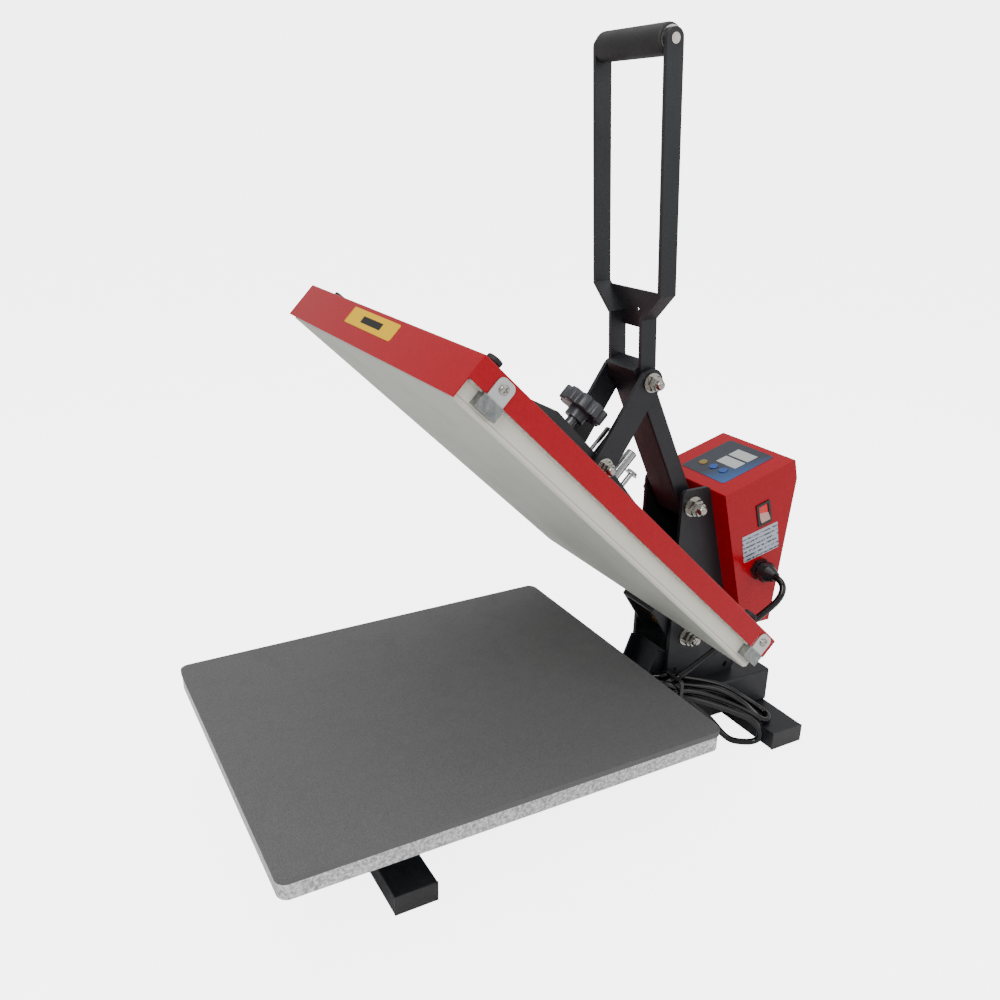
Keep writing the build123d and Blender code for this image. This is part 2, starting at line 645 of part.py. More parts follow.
def spacer_places():
    x = BRIDGE_HALF_WIDTH - 12
    return [(side * x, s) for side in (-1, 1) for s in (BRIDGE_FRONT + 12, BRIDGE_REAR - 12)]


def insulation_board():
    z0 = PLATE_THICK + ELEMENT_R + 0.5
    half = COVER_HALF_WIDTH - COVER_THICK - 2
    board = block((-half, half), (station(4), station(HEAD_LENGTH - 4)),
                  (height(z0), height(z0 + BOARD_THICK)))
    for x, s in spacer_places():
        board -= rod_z(x, station(s), SPACER_R + LOOSE_GAP, height(z0 - 1), height(z0 + BOARD_THICK + 1))
    return opened(board)


def platen_cover():
    """A folded sheet tray: deep skirt at the front, shorter skirts at the sides and rear."""
    half = COVER_HALF_WIDTH
    span = (station(0), station(HEAD_LENGTH))
    tray = block((-half, half), span, (height(FRONT_SKIRT_BOTTOM), height(COVER_TOP)))
    tray = fillet(tray.edges().group_by(Axis.Z)[-1], 1.8)
    wall = COVER_THICK
    tray -= block((-half + wall, half - wall), (span[0] + wall, span[1] - wall),
                  (height(FRONT_SKIRT_BOTTOM - 1), height(COVER_TOP - wall)))
    tray -= block((-half - 1, half + 1), (span[0] + wall, span[1] + 1),
                  (height(FRONT_SKIRT_BOTTOM - 1), height(SIDE_SKIRT_BOTTOM)))
    for x, s in spacer_places():
        tray -= rod_z(x, station(s), 3.0 + LOOSE_GAP, height(COVER_TOP - 3), height(COVER_TOP + 1))
    return opened(tray)


def corner_brackets():
    """A thin tab outside the skirt and a block under it, at each side corner."""
    solids = []
    inside = COVER_HALF_WIDTH + 0.05
    outside = inside + BRACKET_THICK
    for s in bracket_stations():
        y = station(s)
        half = BRACKET_WIDTH / 2
        tab = block((inside, outside), (y - half, y + half), (height(22.5), height(40.5)))
        top = tab.edges().filter_by(Axis.X).group_by(Axis.Z)[-1]
        tab = fillet(top, 6.0)
        tab -= rod_x((y, height(32)), 2.5 + LOOSE_GAP, inside - 1, outside + 1)
        half = BRACKET_BLOCK_WIDTH / 2
        foot = block((PLATE_HALF_WIDTH + 0.05, outside), (y - half, y + half),
                     (height(BRACKET_BLOCK_LOW), height(SIDE_SKIRT_BOTTOM - SEAT_GAP)))
        neck = block((inside, outside), (y - BRACKET_WIDTH / 2, y + BRACKET_WIDTH / 2),
                     (height(SIDE_SKIRT_BOTTOM - 1), height(23)))
        solids += both_sides(opened(tab + foot + neck))
    return solids


def bracket_screws():
    solids = []
    outside = COVER_HALF_WIDTH + 0.05 + BRACKET_THICK
    for s in bracket_stations():
        at = (station(s), height(32))
        head = rod_x(at, 4.5, outside, outside + 2.4)
        head = fillet(head.edges().group_by(Axis.X)[-1], 1.4)
        shank = rod_x(at, 2.5, COVER_HALF_WIDTH + 0.1, outside)
        slot_a = block((outside + 1.2, outside + 3), (at[0] - 2.6, at[0] + 2.6), (at[1] - 0.5, at[1] + 0.5))
        slot_b = block((outside + 1.2, outside + 3), (at[0] - 0.5, at[0] + 0.5), (at[1] - 2.6, at[1] + 2.6))
        solids += both_sides(opened(head + shank - slot_a - slot_b))
    return solids


def cover_bumpers():
    """Four rubber caps on the cover, wider at the top than at the foot."""
    solids = []
    for s in (BUMPER_INSET, HEAD_LENGTH - BUMPER_INSET):
        stem = Pos(BUMPER_X, station(s), height(COVER_TOP) + 2.5) * Cylinder(5.5, 5)
        cap = rod_z(BUMPER_X, station(s), 7.5, height(COVER_TOP) + 4, height(COVER_TOP) + BUMPER_HEIGHT)
        cap = fillet(cap.edges().filter_by(GeomType.CIRCLE), 1.4)
        solids += both_sides(opened(stem + cap))
    return solids


def front_label():
    """A blank sticker with rounded corners on the front skirt."""
    sticker = Pos(-6.5, height(28.5)) * RectangleRounded(115, 19, 3)
    solid = extrude(Plane.XZ.offset(-station(0)) * sticker, 0.3)
    return opened(solid)


def bridge_plate():
    """The steel plate on the cover that the spindle and the guide posts act on."""
    plate = block((-BRIDGE_HALF_WIDTH, BRIDGE_HALF_WIDTH), (station(BRIDGE_FRONT), station(BRIDGE_REAR)),
                  (height(COVER_TOP), height(COVER_TOP + BRIDGE_THICK)))
    plate = fillet(plate.edges().filter_by(Axis.Z), 6.0)
    for x, s in spacer_places():
        plate -= rod_z(x, station(s), 3.0 + LOOSE_GAP, height(COVER_TOP - 1), height(COVER_TOP + 8))
    top = height(COVER_TOP + BRIDGE_THICK)
    plate -= rod_z(0, station(SPINDLE_STATION), SPINDLE_R + 2 + SIDE_GAP, top - 4, top + 1)
    for s in POST_STATIONS:
        plate -= rod_z(0, station(s), POST_R + RUN_GAP, top - 4, top + 1)
    plate -= rod_z(0, station(STOP_BOLT_STATION), STOP_BOLT_R + RUN_GAP, top - 4, top + 1)
    return opened(plate)


def bridge_spacers():
    """Tubes that carry the load from the bridge plate to the heating plate."""
    solids = []
    for x, s in spacer_places():
        ring = washer_z(x, station(s), 3.0 + LOOSE_GAP, SPACER_R - SEAT_GAP,
                        height(PLATE_THICK), height(COVER_TOP - COVER_THICK))
        solids.append(opened(ring))
    return solids


def bridge_screws():
    solids = []
    top = COVER_TOP + BRIDGE_THICK
    for x, s in spacer_places():
        head = rod_z(x, station(s), 5.0, height(top), height(top + 4))
        head -= hex_z(x, station(s), 5.0, height(top + 1.5), height(top + 5))
        shank = rod_z(x, station(s), 3.0, height(PLATE_THICK - 11), height(top))
        solids.append(opened(head + shank))
    return solids


def guide_posts():
    solids = []
    foot = height(COVER_TOP + BRIDGE_THICK - 4)
    for s in POST_STATIONS:
        post = rod_z(0, station(s), POST_R, foot, height(POST_TOP))
        post = chamfer(post.edges().group_by(Axis.Z)[-1], 1.2)
        solids.append(opened(post))
    return solids


def stop_bolt():
    y = station(STOP_BOLT_STATION)
    top = height(STOP_BOLT_HEAD_TOP)
    shank = rod_z(0, y, STOP_BOLT_R, height(COVER_TOP + BRIDGE_THICK - 4), top - 3)
    flange = rod_z(0, y, 8.0, top - 4.2, top - 3.2)
    return opened(shank + flange + hex_z(0, y, 12.0, top - 3.3, top))


# ---------------------------------------------------------------- arm
def arm_side():
    """The arm's side view, closed: over the head, then down behind it to the pivot."""
    pivot = ARM_PIVOT
    tangent = ARM_BOSS_R
    rear_station = HEAD_LENGTH + 12
    points = [(station(ARM_FRONT), height(ARM_BOTTOM)),
              (station(ARM_FRONT), height(ARM_TOP_FRONT)),
              (station(ARM_MID), height(ARM_TOP_MID)),
              (station(ARM_MID + 60), height(ARM_TOP_MID - 7)),
              (pivot[0] - 20, height(ARM_TOP_MID - 36)),
              (pivot[0] + tangent * 0.8, pivot[1] + tangent * 0.6),
              (pivot[0], pivot[1] - tangent),
              (station(rear_station), pivot[1] - 6),
              (station(rear_station), height(ARM_BOTTOM - 12)),
              (station(rear_station - 16), height(ARM_BOTTOM))]
    return make_face(Polyline(*points, close=True))


def arm_channel():
    """A folded channel, open underneath, closed at the front, with a boss at the pivot."""
    half = ARM_HALF_WIDTH
    body = side_plate(arm_side(), -half, half) + rod_x(ARM_PIVOT, ARM_BOSS_R, -half, half)
    inner = half - ARM_WALL
    hollow = side_plate(arm_side(), -inner, inner).translate((0, ARM_WALL, -ARM_WALL))
    hollow += side_plate(arm_side(), -inner, inner).translate((0, ARM_WALL, -2 * ARM_WALL - 10))
    hollow += rod_x(ARM_PIVOT, ARM_BOSS_R - ARM_WALL, -inner, inner)
    hollow &= block((-inner, inner), (station(ARM_FRONT) + ARM_WALL, ARM_PIVOT[0] + ARM_BOSS_R - ARM_WALL),
                    (0, height(ARM_TOP_FRONT)))
    body -= hollow
    top = height(ARM_TOP_FRONT + 1)
    body -= rod_z(0, station(SPINDLE_STATION), SPINDLE_R + 4 + SEAT_GAP, top - 25, top)
    for s in POST_STATIONS:
        body -= rod_z(0, station(s), POST_R + 2.5 + SEAT_GAP, top - 18, top)
    body -= rod_z(0, station(STOP_BOLT_STATION), STOP_BOLT_R + 1.5, top - 25, top)
    body -= rod_x(ARM_PIVOT, PIVOT_BOLT_R + 3 + SEAT_GAP, -half - 1, half + 1)
    return opened(body)


def arm_bush():
    bush = rod_x(ARM_PIVOT, PIVOT_BOLT_R + 3, -ARM_HALF_WIDTH - 0.3, ARM_HALF_WIDTH + 0.3)
    bush -= rod_x(ARM_PIVOT, PIVOT_BOLT_R + RUN_GAP, -ARM_HALF_WIDTH - 1, ARM_HALF_WIDTH + 1)
    return opened(bush)


def arm_top_at(s):
    """Height of the arm's top over the head at a station ahead of the bend."""
    if s <= ARM_MID:
        share = (s - ARM_FRONT) / (ARM_MID - ARM_FRONT)
        return ARM_TOP_FRONT + share * (ARM_TOP_MID - ARM_TOP_FRONT)
    return ARM_TOP_MID - 7 * (s - ARM_MID) / 60


def flanged_bush(s, hole_r, sleeve_r, flange_r, flange_h, depth):
    """A bush let into the arm's top from above, with its flange on the top face."""
    y = station(s)
    drop = (ARM_TOP_FRONT - ARM_TOP_MID) / (ARM_MID - ARM_FRONT)
    face = height(arm_top_at(s)) + 0.05 + flange_r * max(drop, 7 / 60 if s > ARM_MID else 0)
    bush = rod_z(0, y, flange_r, face, face + flange_h)
    bush += rod_z(0, y, sleeve_r, face - depth, face)
    return opened(bush - rod_z(0, y, hole_r, face - depth - 1, face + flange_h + 1))


def spindle_nut():
    return flanged_bush(SPINDLE_STATION, SPINDLE_R + RUN_GAP, SPINDLE_R + 4, 14.0, NUT_FLANGE_THICK, 18.0)


def guide_bushes():
    return [flanged_bush(s, POST_R + RUN_GAP, POST_R + 2.5, POST_R + 5.5, 2.0, 14.0)
            for s in POST_STATIONS]


def pressure_spindle():
    y = station(SPINDLE_STATION)
    bottom = height(COVER_TOP + BRIDGE_THICK - 4) + 0.1
    rod = rod_z(0, y, SPINDLE_R, bottom, height(KNOB_BASE + 20))
    collar = rod_z(0, y, SPINDLE_R + 2, bottom, bottom + 3)
    return opened(rod + collar)


def pressure_knob():
    """A lobed disc on a round hub."""
    y = station(SPINDLE_STATION)
    base = height(KNOB_BASE)
    disc_z = base + KNOB_HUB_HEIGHT
    disc = rod_z(0, y, KNOB_R, disc_z, disc_z + KNOB_DISC_HEIGHT)
    for i in range(KNOB_LOBES):
        a = 2 * pi * (i + 0.5) / KNOB_LOBES
        reach = KNOB_R + 3.2
        disc -= rod_z(reach * sin(a), y + reach * cos(a), 6.5, disc_z - 1, disc_z + KNOB_DISC_HEIGHT + 1)
    hub = rod_z(0, y, KNOB_HUB_R, base, disc_z)
    bore = rod_z(0, y, SPINDLE_R + 0.02, base - 1, height(KNOB_BASE + 20) + 0.1)
    return opened(disc + hub - bore)


# ---------------------------------------------------------------- control box
def in_box(shape):
    """Place a shape drawn on the panel: X, distance from its front edge, height above it."""
    place = Pos(0, BOX_FRONT_TOP[0], BOX_FRONT_TOP[1]) * Rot(BOX_TILT, 0, 0)
    return place * shape


def box_points():
    """The box's side view as (distance from the front edge, depth below the panel)."""
    tilt = radians(BOX_TILT)
    drop = BOX_FRONT_TOP[1] - BOX_BOTTOM_Z
    front_depth = drop / cos(tilt)
    lip_z = BOX_FRONT_TOP[1] + BOX_PANEL_LENGTH * sin(tilt) - BOX_LIP * cos(tilt)
    lip_y = BOX_FRONT_TOP[0] + BOX_PANEL_LENGTH * cos(tilt) + BOX_LIP * sin(tilt)
    rear_y = lip_y - (lip_z - BOX_BOTTOM_Z) * tan(radians(BOX_BACK_SLOPE))
    along = (rear_y - BOX_FRONT_TOP[0]) * cos(tilt) - drop * sin(tilt)
    depth = (rear_y - BOX_FRONT_TOP[0]) * sin(tilt) + drop * cos(tilt)
    return [(0, 0), (BOX_PANEL_LENGTH, 0), (BOX_PANEL_LENGTH, -BOX_LIP), (along, -depth),
            (0, -front_depth)]


def box_solid(inset, half_width):
    face = make_face(Polyline(*box_points(), close=True))
    if inset:
        face = offset(face, -inset, kind=Kind.INTERSECTION)
    return side_plate(face, -half_width, half_width)


def back_slab(depth, half_width, shorten):
    """A slab just inside the box's slanted rear face."""
    lip = Vector(*box_points()[2])
    foot = Vector(*box_points()[3])
    along = (foot - lip).normalized()
    inward = Vector(along.Y, -along.X)
    start = lip + along * shorten
    end = foot - along * shorten
    corners = [start, end, end + inward * depth, start + inward * depth]
    return side_plate(outline([(c.X, c.Y) for c in corners]), -half_width, half_width)


def on_panel(x, s, width, length, z0, z1, corner=0.5):
    sketch = Pos(x, s, z0) * RectangleRounded(width, length, corner)
    return extrude(sketch, z1 - z0)


def key_places():
    return (MODE_KEY_X, UP_KEY_X, DOWN_KEY_X)


def switch_frame(shape):
    """Place a shape drawn on the switch: X out of the box, Y across, Z along its length."""
    return Pos(BOX_HALF_WIDTH, SWITCH_CENTRE[0], SWITCH_CENTRE[1]) * Rot(BOX_TILT, 0, 0) * shape


def box_shell():
    shell = box_solid(0, BOX_HALF_WIDTH)
    shell = fillet(shell.edges().filter_by(Axis.X).sort_by(Axis.Z)[-3:], 1.5)
    shell -= box_solid(BOX_WALL, BOX_HALF_WIDTH - BOX_WALL)
    shell -= back_slab(BOX_WALL * 3, BOX_HALF_WIDTH - BOX_WALL, 3.0)
    for x in key_places():
        shell -= rod_z(x, KEY_STATION, KEY_R + SIDE_GAP, -BOX_WALL - 1, 1)
    for s in DISPLAY_STATIONS:
        shell -= on_panel(DISPLAY_X, s, DISPLAY_SIZE[0] + 2 * SEAT_GAP, DISPLAY_SIZE[1] + 2 * SEAT_GAP,
                          -BOX_WALL - 1, 1)
    shell = in_box(shell)
    shell -= switch_frame(block((-5, 5), (-SWITCH_SIZE[0] / 2 + 1.2, SWITCH_SIZE[0] / 2 - 1.2),
                                (-SWITCH_SIZE[1] / 2 + 1.2, SWITCH_SIZE[1] / 2 - 1.2)))
    shell -= rod_x(GLAND_CENTRE, 8.0 + LOOSE_GAP, BOX_HALF_WIDTH - 3, BOX_HALF_WIDTH + 1)
    for z in box_screw_heights():
        shell -= box_screw_hole(z)
    return shell


def box_back_cover():
    gap = BOX_WALL + SEAT_GAP
    cover = back_slab(BOX_WALL, BOX_HALF_WIDTH - gap, 3.0 + SEAT_GAP)
    flange = back_slab(10.0, BOX_HALF_WIDTH - gap, 12.0)
    flange -= back_slab(11.0, BOX_HALF_WIDTH - gap - BOX_WALL, 0.0)
    return in_box(cover + flange)


def box_screw_heights():
    return (BOX_FRONT_TOP[1] - 60, BOX_BOTTOM_Z + 60)


def box_screw_hole(z):
    hole = Pos(0, box_line_y(z), z) * Rot(BOX_TILT, 0, 0) * Rot(90, 0, 0) * Cylinder(2.5 + LOOSE_GAP, 20)
    return hole


def box_bracket():
    """The folded plate between the uprights that the box is screwed to."""
    z0 = box_screw_heights()[1] - 18
    z1 = box_screw_heights()[0] + 18
    half = UPRIGHT_INSIDE_X - SEAT_GAP
    tilt = radians(BOX_TILT)
    length = (z1 - z0) / cos(tilt)
    thick = 2.5
    web = block((-half, half), (-thick, 0), (-length / 2, length / 2))
    flange = block((half - thick, half), (-14, 0), (-length / 2, length / 2))
    bracket = web + flange + mirrored(flange)
    middle = (z0 + z1) / 2
    bracket = Pos(0, box_line_y(middle), middle) * Rot(BOX_TILT, 0, 0) * bracket
    for z in box_screw_heights():
        bracket -= box_screw_hole(z)
    return bracket


def box_screws():
    solids = []
    for z in box_screw_heights():
        place = Pos(0, box_line_y(z), z) * Rot(BOX_TILT, 0, 0)
        head = Pos(0, BOX_WALL + 1.5, 0) * Rot(90, 0, 0) * Cylinder(4.5, 3)
        shank = Pos(0, -2.0, 0) * Rot(90, 0, 0) * Cylinder(2.5, 6.4)
        nut = Pos(0, -2.5, 0) * Rot(90, 0, 0) * extrude(hexagon(8.0), 2.5)
        nut -= Pos(0, -4.0, 0) * Rot(90, 0, 0) * Cylinder(2.5 + RUN_GAP, 6)
        solids += [place * (head + shank), place * nut]
    return solids


def panel_overlay():
    middle = OVERLAY_START + OVERLAY_LENGTH / 2
    film = on_panel(0, middle, 2 * OVERLAY_HALF_WIDTH, OVERLAY_LENGTH, 0, OVERLAY_THICK, 4.0)
    for x in key_places():
        film -= rod_z(x, KEY_STATION, KEY_R + SIDE_GAP, -1, 1)
    for s in DISPLAY_STATIONS:
        film -= on_panel(DISPLAY_X, s, DISPLAY_SIZE[0] + 2 * SEAT_GAP, DISPLAY_SIZE[1] + 2 * SEAT_GAP, -1, 1)
    return in_box(film)


def display_windows():
    return [in_box(on_panel(DISPLAY_X, s, DISPLAY_SIZE[0], DISPLAY_SIZE[1], -BOX_WALL, OVERLAY_THICK))
            for s in DISPLAY_STATIONS]


def display_modules():
    return [in_box(on_panel(DISPLAY_X, s, DISPLAY_SIZE[0], DISPLAY_SIZE[1], -BOARD_DEPTH, -BOX_WALL - 0.1))
            for s in DISPLAY_STATIONS]


def circuit_board():
    middle = OVERLAY_START + OVERLAY_LENGTH / 2
    base = -BOARD_DEPTH - PCB_THICK
    board = on_panel(0, middle, 2 * OVERLAY_HALF_WIDTH + 6, OVERLAY_LENGTH, base, -BOARD_DEPTH, 2.0)
    for x in key_places():
        board += rod_z(x, KEY_STATION, 3.0, -BOARD_DEPTH, key_foot() - KEY_TRAVEL - 0.1)
    solids = [in_box(board)]
    for x in (-OVERLAY_HALF_WIDTH, OVERLAY_HALF_WIDTH):
        for s in (OVERLAY_START + 4, OVERLAY_START + OVERLAY_LENGTH - 4):
            solids.append(in_box(rod_z(x, s, 2.5, -BOARD_DEPTH, -BOX_WALL)))
    return solids


def key_foot():
    """Height of a key's lower face relative to the panel."""
    return -BOX_WALL - 3.0


def key(x):
    cap = rod_z(x, KEY_STATION, KEY_R, key_foot() + 1, OVERLAY_THICK + KEY_PROUD)
    cap = fillet(cap.edges().group_by(Axis.Z)[-1], 0.6)
    flange = rod_z(x, KEY_STATION, KEY_R + 1.5, key_foot(), key_foot() + 1)
    return in_box(cap + flange)


def relay():
    """The solid-state relay that switches the heater, on the box's left wall."""
    body = block((-BOX_HALF_WIDTH + BOX_WALL, -BOX_HALF_WIDTH + BOX_WALL + 23), (20, 65), (-115, -57))
    return in_box(fillet(body.edges().filter_by(Axis.X), 2.0))


def rocker_housing():
    half_y = SWITCH_SIZE[0] / 2
    half_z = SWITCH_SIZE[1] / 2
    rim = block((0, 1.6), (-half_y, half_y), (-half_z, half_z))
    rim = fillet(rim.edges().filter_by(Axis.X), 1.5)
    barrel = block((-20, 0), (-half_y + 1.5, half_y - 1.5), (-half_z + 1.5, half_z - 1.5))
    housing = rim + barrel
    housing -= block((-14, 3), (-half_y + 3.2, half_y - 3.2), (-half_z + 3.2, half_z - 3.2))
    pin = Rot(90, 0, 0) * Cylinder(1.5 + RUN_GAP, 2 * half_y - 4.4)
    return switch_frame(housing - Pos(-3, 0, 0) * pin)


def power_rocker():
    """The rocker, at rest with its lower half pressed in."""
    half_y = SWITCH_SIZE[0] / 2 - 3.2 - SIDE_GAP
    reach = SWITCH_SIZE[1] / 2 - 3.2 - 1.0
    rise = reach * tan(radians(SWITCH_ROCK))
    profile = [(3.2, 0), (3.2 + rise, reach), (-6, reach * 0.6), (-6, -reach * 0.6), (3.2 + rise, -reach)]
    face = Plane.XZ.offset(-half_y) * outline(profile)
    rocker = extrude(face, 2 * half_y)
    rocker += Rot(90, 0, 0) * Cylinder(1.5, SWITCH_SIZE[0] - 4.8)
    return switch_frame(Pos(-3, 0, 0) * Rot(0, -SWITCH_ROCK, 0) * rocker)


def cable_gland():
    """Hexagon body and tapered clamping nut outside the box, locknut inside it."""
    x0 = BOX_HALF_WIDTH
    tip = x0 + GLAND_LENGTH
    body = hex_x(GLAND_CENTRE, GLAND_AF, x0, x0 + 7)
    neck = rod_x(GLAND_CENTRE, GLAND_AF * 0.43, x0 + 7, x0 + 9)
    clamp = hex_x(GLAND_CENTRE, GLAND_AF - 1.5, x0 + 9, x0 + 18)
    taper = Pos((x0 + 18 + tip) / 2, GLAND_CENTRE[0], GLAND_CENTRE[1]) * Rot(0, 90, 0) * Cone(
        GLAND_AF * 0.45, CORD_R + 2.0, tip - x0 - 18)
    shank = rod_x(GLAND_CENTRE, 8.0, x0 - 8, x0)
    locknut = hex_x(GLAND_CENTRE, 22.0, x0 - BOX_WALL - 5, x0 - BOX_WALL)
    return body + neck + clamp + taper + shank + locknut


def rating_label():
    """A blank silver label on the box's right face, tilted like the panel."""
    sticker = RectangleRounded(LABEL_SIZE[0], LABEL_SIZE[1], 1.5)
    place = Pos(LABEL_CENTRE[0], LABEL_CENTRE[1]) * Rot(0, 0, BOX_TILT - 3.5) * sticker
    return side_plate(place, BOX_HALF_WIDTH, BOX_HALF_WIDTH + 0.3)


# ---------------------------------------------------------------- mains cord
LEAD_POINTS = [(92.2, 308.5, 228), (103, 308, 227), (110, 304.5, 218), (110, 297, 206), (104, 284, 191),
               (94, 264, 170), (82, 243, 147), (70, 224, 123), (60, 210, 103), (52, 198, 88)]
FLOOR_LOOP_POINTS = [(88, 280, 50), (98, 294, 36), (104, 299, 22), (106, 299, 10), (106, 292, 4.2),
                     (103, 281, 4.3), (94, 272, 4.5), (84, 267, 8), (76, 259, 17), (71, 245, 33),
                     (68, 228, 51), (65, 212, 70), (60, 200, 84)]


def cord_tube(points):
    """Straight runs joined by tangent arcs as large as the runs allow."""
    route = [Vector(*p) for p in points]
    radii = []
    for before, here, after in zip(route, route[1:], route[2:]):
        turn = radians((here - before).get_angle(after - here))
        run = min((here - before).length, (after - here).length)
        radii.append(0.45 * run / tan(turn / 2))
    print("cord radii", [round(r, 1) for r in radii])
    path = FilletPolyline(*route, radius=radii)
    section = Plane(origin=path @ 0, z_dir=path % 0) * Circle(CORD_R)
    tube = sweep(section, path=path)
    print("tube volume over section times length", round(tube.volume / (pi * CORD_R ** 2 * path.length), 4))
    return tube


def cord_hank():
    """The outer shape of the folded, tied length: flat under the bed, fanned out behind."""
    sections = [(106, (10, 56), (70.6, 93)), (190, (38, 68), (73, 99)), (204, (38, 70), (73, 99)),
                (255, (50, 92), (54, 88)), (300, (64, 113), (24, 56)), (334, (68, 106), (24, 38))]
    loops = []
    for y, x, z in sections:
        frame = Plane(origin=(sum(x) / 2, y, sum(z) / 2), x_dir=(1, 0, 0), z_dir=(0, 1, 0))
        loops.append(frame * RectangleRounded(x[1] - x[0], z[1] - z[0], 5))
    hank = loft(loops, ruled=True)
    half = BEAM_WIDTH / 2 + SEAT_GAP
    hank -= block((-half, half), (0, FRAME_REAR_Y + 1), (0, BEAM_TOP_Z + SEAT_GAP))
    front = REAR_CROSSBAR_Y - CROSSBAR_DEPTH / 2 - SEAT_GAP
    return hank - block((0, 140), (front, FRAME_REAR_Y + 1), (0, CROSSBAR_HEIGHT + SEAT_GAP))


def cord_tie():
    """A twist tie round the waist of the hank, with a loose tail."""
    waist_x = 54.0
    waist_z = 86.0
    frame = Plane(origin=(waist_x, 194.5, waist_z), x_dir=(1, 0, 0), z_dir=(0, 1, 0))
    band = extrude(frame * RectangleRounded(35.4, 29.4, 6), 5.0)
    return band - extrude(frame * RectangleRounded(32.8, 26.8, 4.7), 5.0)


def cord_plug():
    """A moulded plug lying on the beam under the bed."""
    centre_x = 32.0
    body = block((centre_x - 16, centre_x + 16), (66, 98), (BEAM_TOP_Z + 0.2, BEAM_TOP_Z + 22))
    body = fillet(body.edges().filter_by(Axis.Y), 5.0)
    neck = Pos(centre_x, 102, BEAM_TOP_Z + 11) * Rot(-90, 0, 0) * Cone(8.0, 5.5, 8)
    plug = body + neck
    for x in (centre_x - 6.5, centre_x + 6.5):
        plug += block((x - 0.8, x + 0.8), (48, 67), (BEAM_TOP_Z + 7.5, BEAM_TOP_Z + 14))
    return plug


# ---------------------------------------------------------------- write the parts
def save_base():
    save("front_crossbar", crossbar(FRONT_CROSSBAR_LENGTH, FRONT_CROSSBAR_Y))
    save("rear_crossbar", crossbar(REAR_CROSSBAR_LENGTH, REAR_CROSSBAR_Y))
    save("crossbar_end_caps", *crossbar_caps(FRONT_CROSSBAR_LENGTH, FRONT_CROSSBAR_Y),
         *crossbar_caps(REAR_CROSSBAR_LENGTH, REAR_CROSSBAR_Y))
    save("frame_bolts", *crossbar_bolts(), *support_bolts(), *bed_bolts())
    save("main_beam", main_beam())
    save("bed_supports", bed_support(FRONT_SUPPORT_Y), bed_support(REAR_SUPPORT_Y))
    save("lower_platen", lower_platen())
    save("silicone_pad", bed_slab(BED_WIDTH, BED_LENGTH, PAD_BOTTOM_Z, PAD_TOP_Z))
    save("right_upright", upright(UPRIGHT_INSIDE_X, UPRIGHT_OUTSIDE_X))
    save("left_upright", upright(-UPRIGHT_OUTSIDE_X, -UPRIGHT_INSIDE_X))
    save("front_brace", front_brace())
    save("pivot_bolts", *through_bolt(LEVER_PIVOT, PIVOT_BOLT_R, 18.0, UPRIGHT_OUTSIDE_X, 12.5),
         *through_bolt(ARM_PIVOT, PIVOT_BOLT_R, 18.0, UPRIGHT_OUTSIDE_X, 12.5))
    save("pivot_spacers", *pivot_spacers(LEVER_PIVOT, TUBE_HALF_WIDTH),
         *pivot_spacers(ARM_PIVOT, ARM_HALF_WIDTH))


def save_lever():
    save("lever_tube", lever_tube())
    save("lever_sleeve", lever_sleeve())
    save("lever_tube_cap", lever_tube_cap())
    save("right_handle_bar", handle_bar())
    save("left_handle_bar", mirrored(handle_bar()))
    save("handle_web", handle_web())
    save("handle_grip", handle_grip())
    save("grip_rod", grip_rod(), *grip_washers())
    save("link_pin_bolt", *link_spacers(),
         *through_bolt(LINK_PIN, LINK_BOLT_R, 16.0, LINK_OUTSIDE_X + SIDE_GAP, 11.0))
    save("right_link", link(1))
    save("left_link", link(-1))
    save("link_foot_bolts", *link_foot_bolts())


def save_head():
    save("arm_channel", arm_channel())
    save("arm_bush", arm_bush())
    save("spindle_nut", spindle_nut())
    save("guide_bushes", *guide_bushes())
    save("heating_plate", heating_plate())
    save("heating_element", opened(element_path(ELEMENT_R)))
    save("insulation_board", insulation_board())
    save("platen_cover", platen_cover())
    save("corner_brackets", *corner_brackets())
    save("bracket_screws", *bracket_screws())
    save("cover_bumpers", *cover_bumpers())
    save("front_label", front_label())
    save("bridge_plate", bridge_plate())
    save("bridge_fixings", *bridge_spacers(), *bridge_screws())
    save("guide_posts", *guide_posts(), stop_bolt())
    save("pressure_spindle", pressure_spindle())
    save("pressure_knob", pressure_knob())


def save_box():
    save("box_shell", box_shell())
    save("box_back_cover", box_back_cover())
    save("box_bracket", box_bracket(), *box_screws())
    save("panel_overlay", panel_overlay())
    save("display_windows", *display_windows())
    save("circuit_board", *circuit_board(), *display_modules())
    save("mode_key", key(MODE_KEY_X))
    save("up_key", key(UP_KEY_X))
    save("down_key", key(DOWN_KEY_X))
    save("relay", relay())
    save("rocker_housing", rocker_housing())
    save("power_rocker", power_rocker())
    save("cable_gland", cable_gland())
    save("rating_label", rating_label())


def save_cord():
    save("cord_tube", cord_tube(LEAD_POINTS), cord_tube(FLOOR_LOOP_POINTS))
    save("cord_hank", cord_hank())
    save("cord_tie", cord_tie())
    save("cord_plug", cord_plug())


save_base()
save_lever()
save_head()
save_box()
save_cord()
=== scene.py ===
# %% [markdown]
# # A clamshell heat press
# The press stands open: the heated head is tilted up on its arm, and the lever stands behind it.
# The measured parts come in as a fixed frame. This lesson gives them their finishes and models
# the soft and moulded pieces: the cord, the knob and the grip.

# %% Load the frame
import json
import math

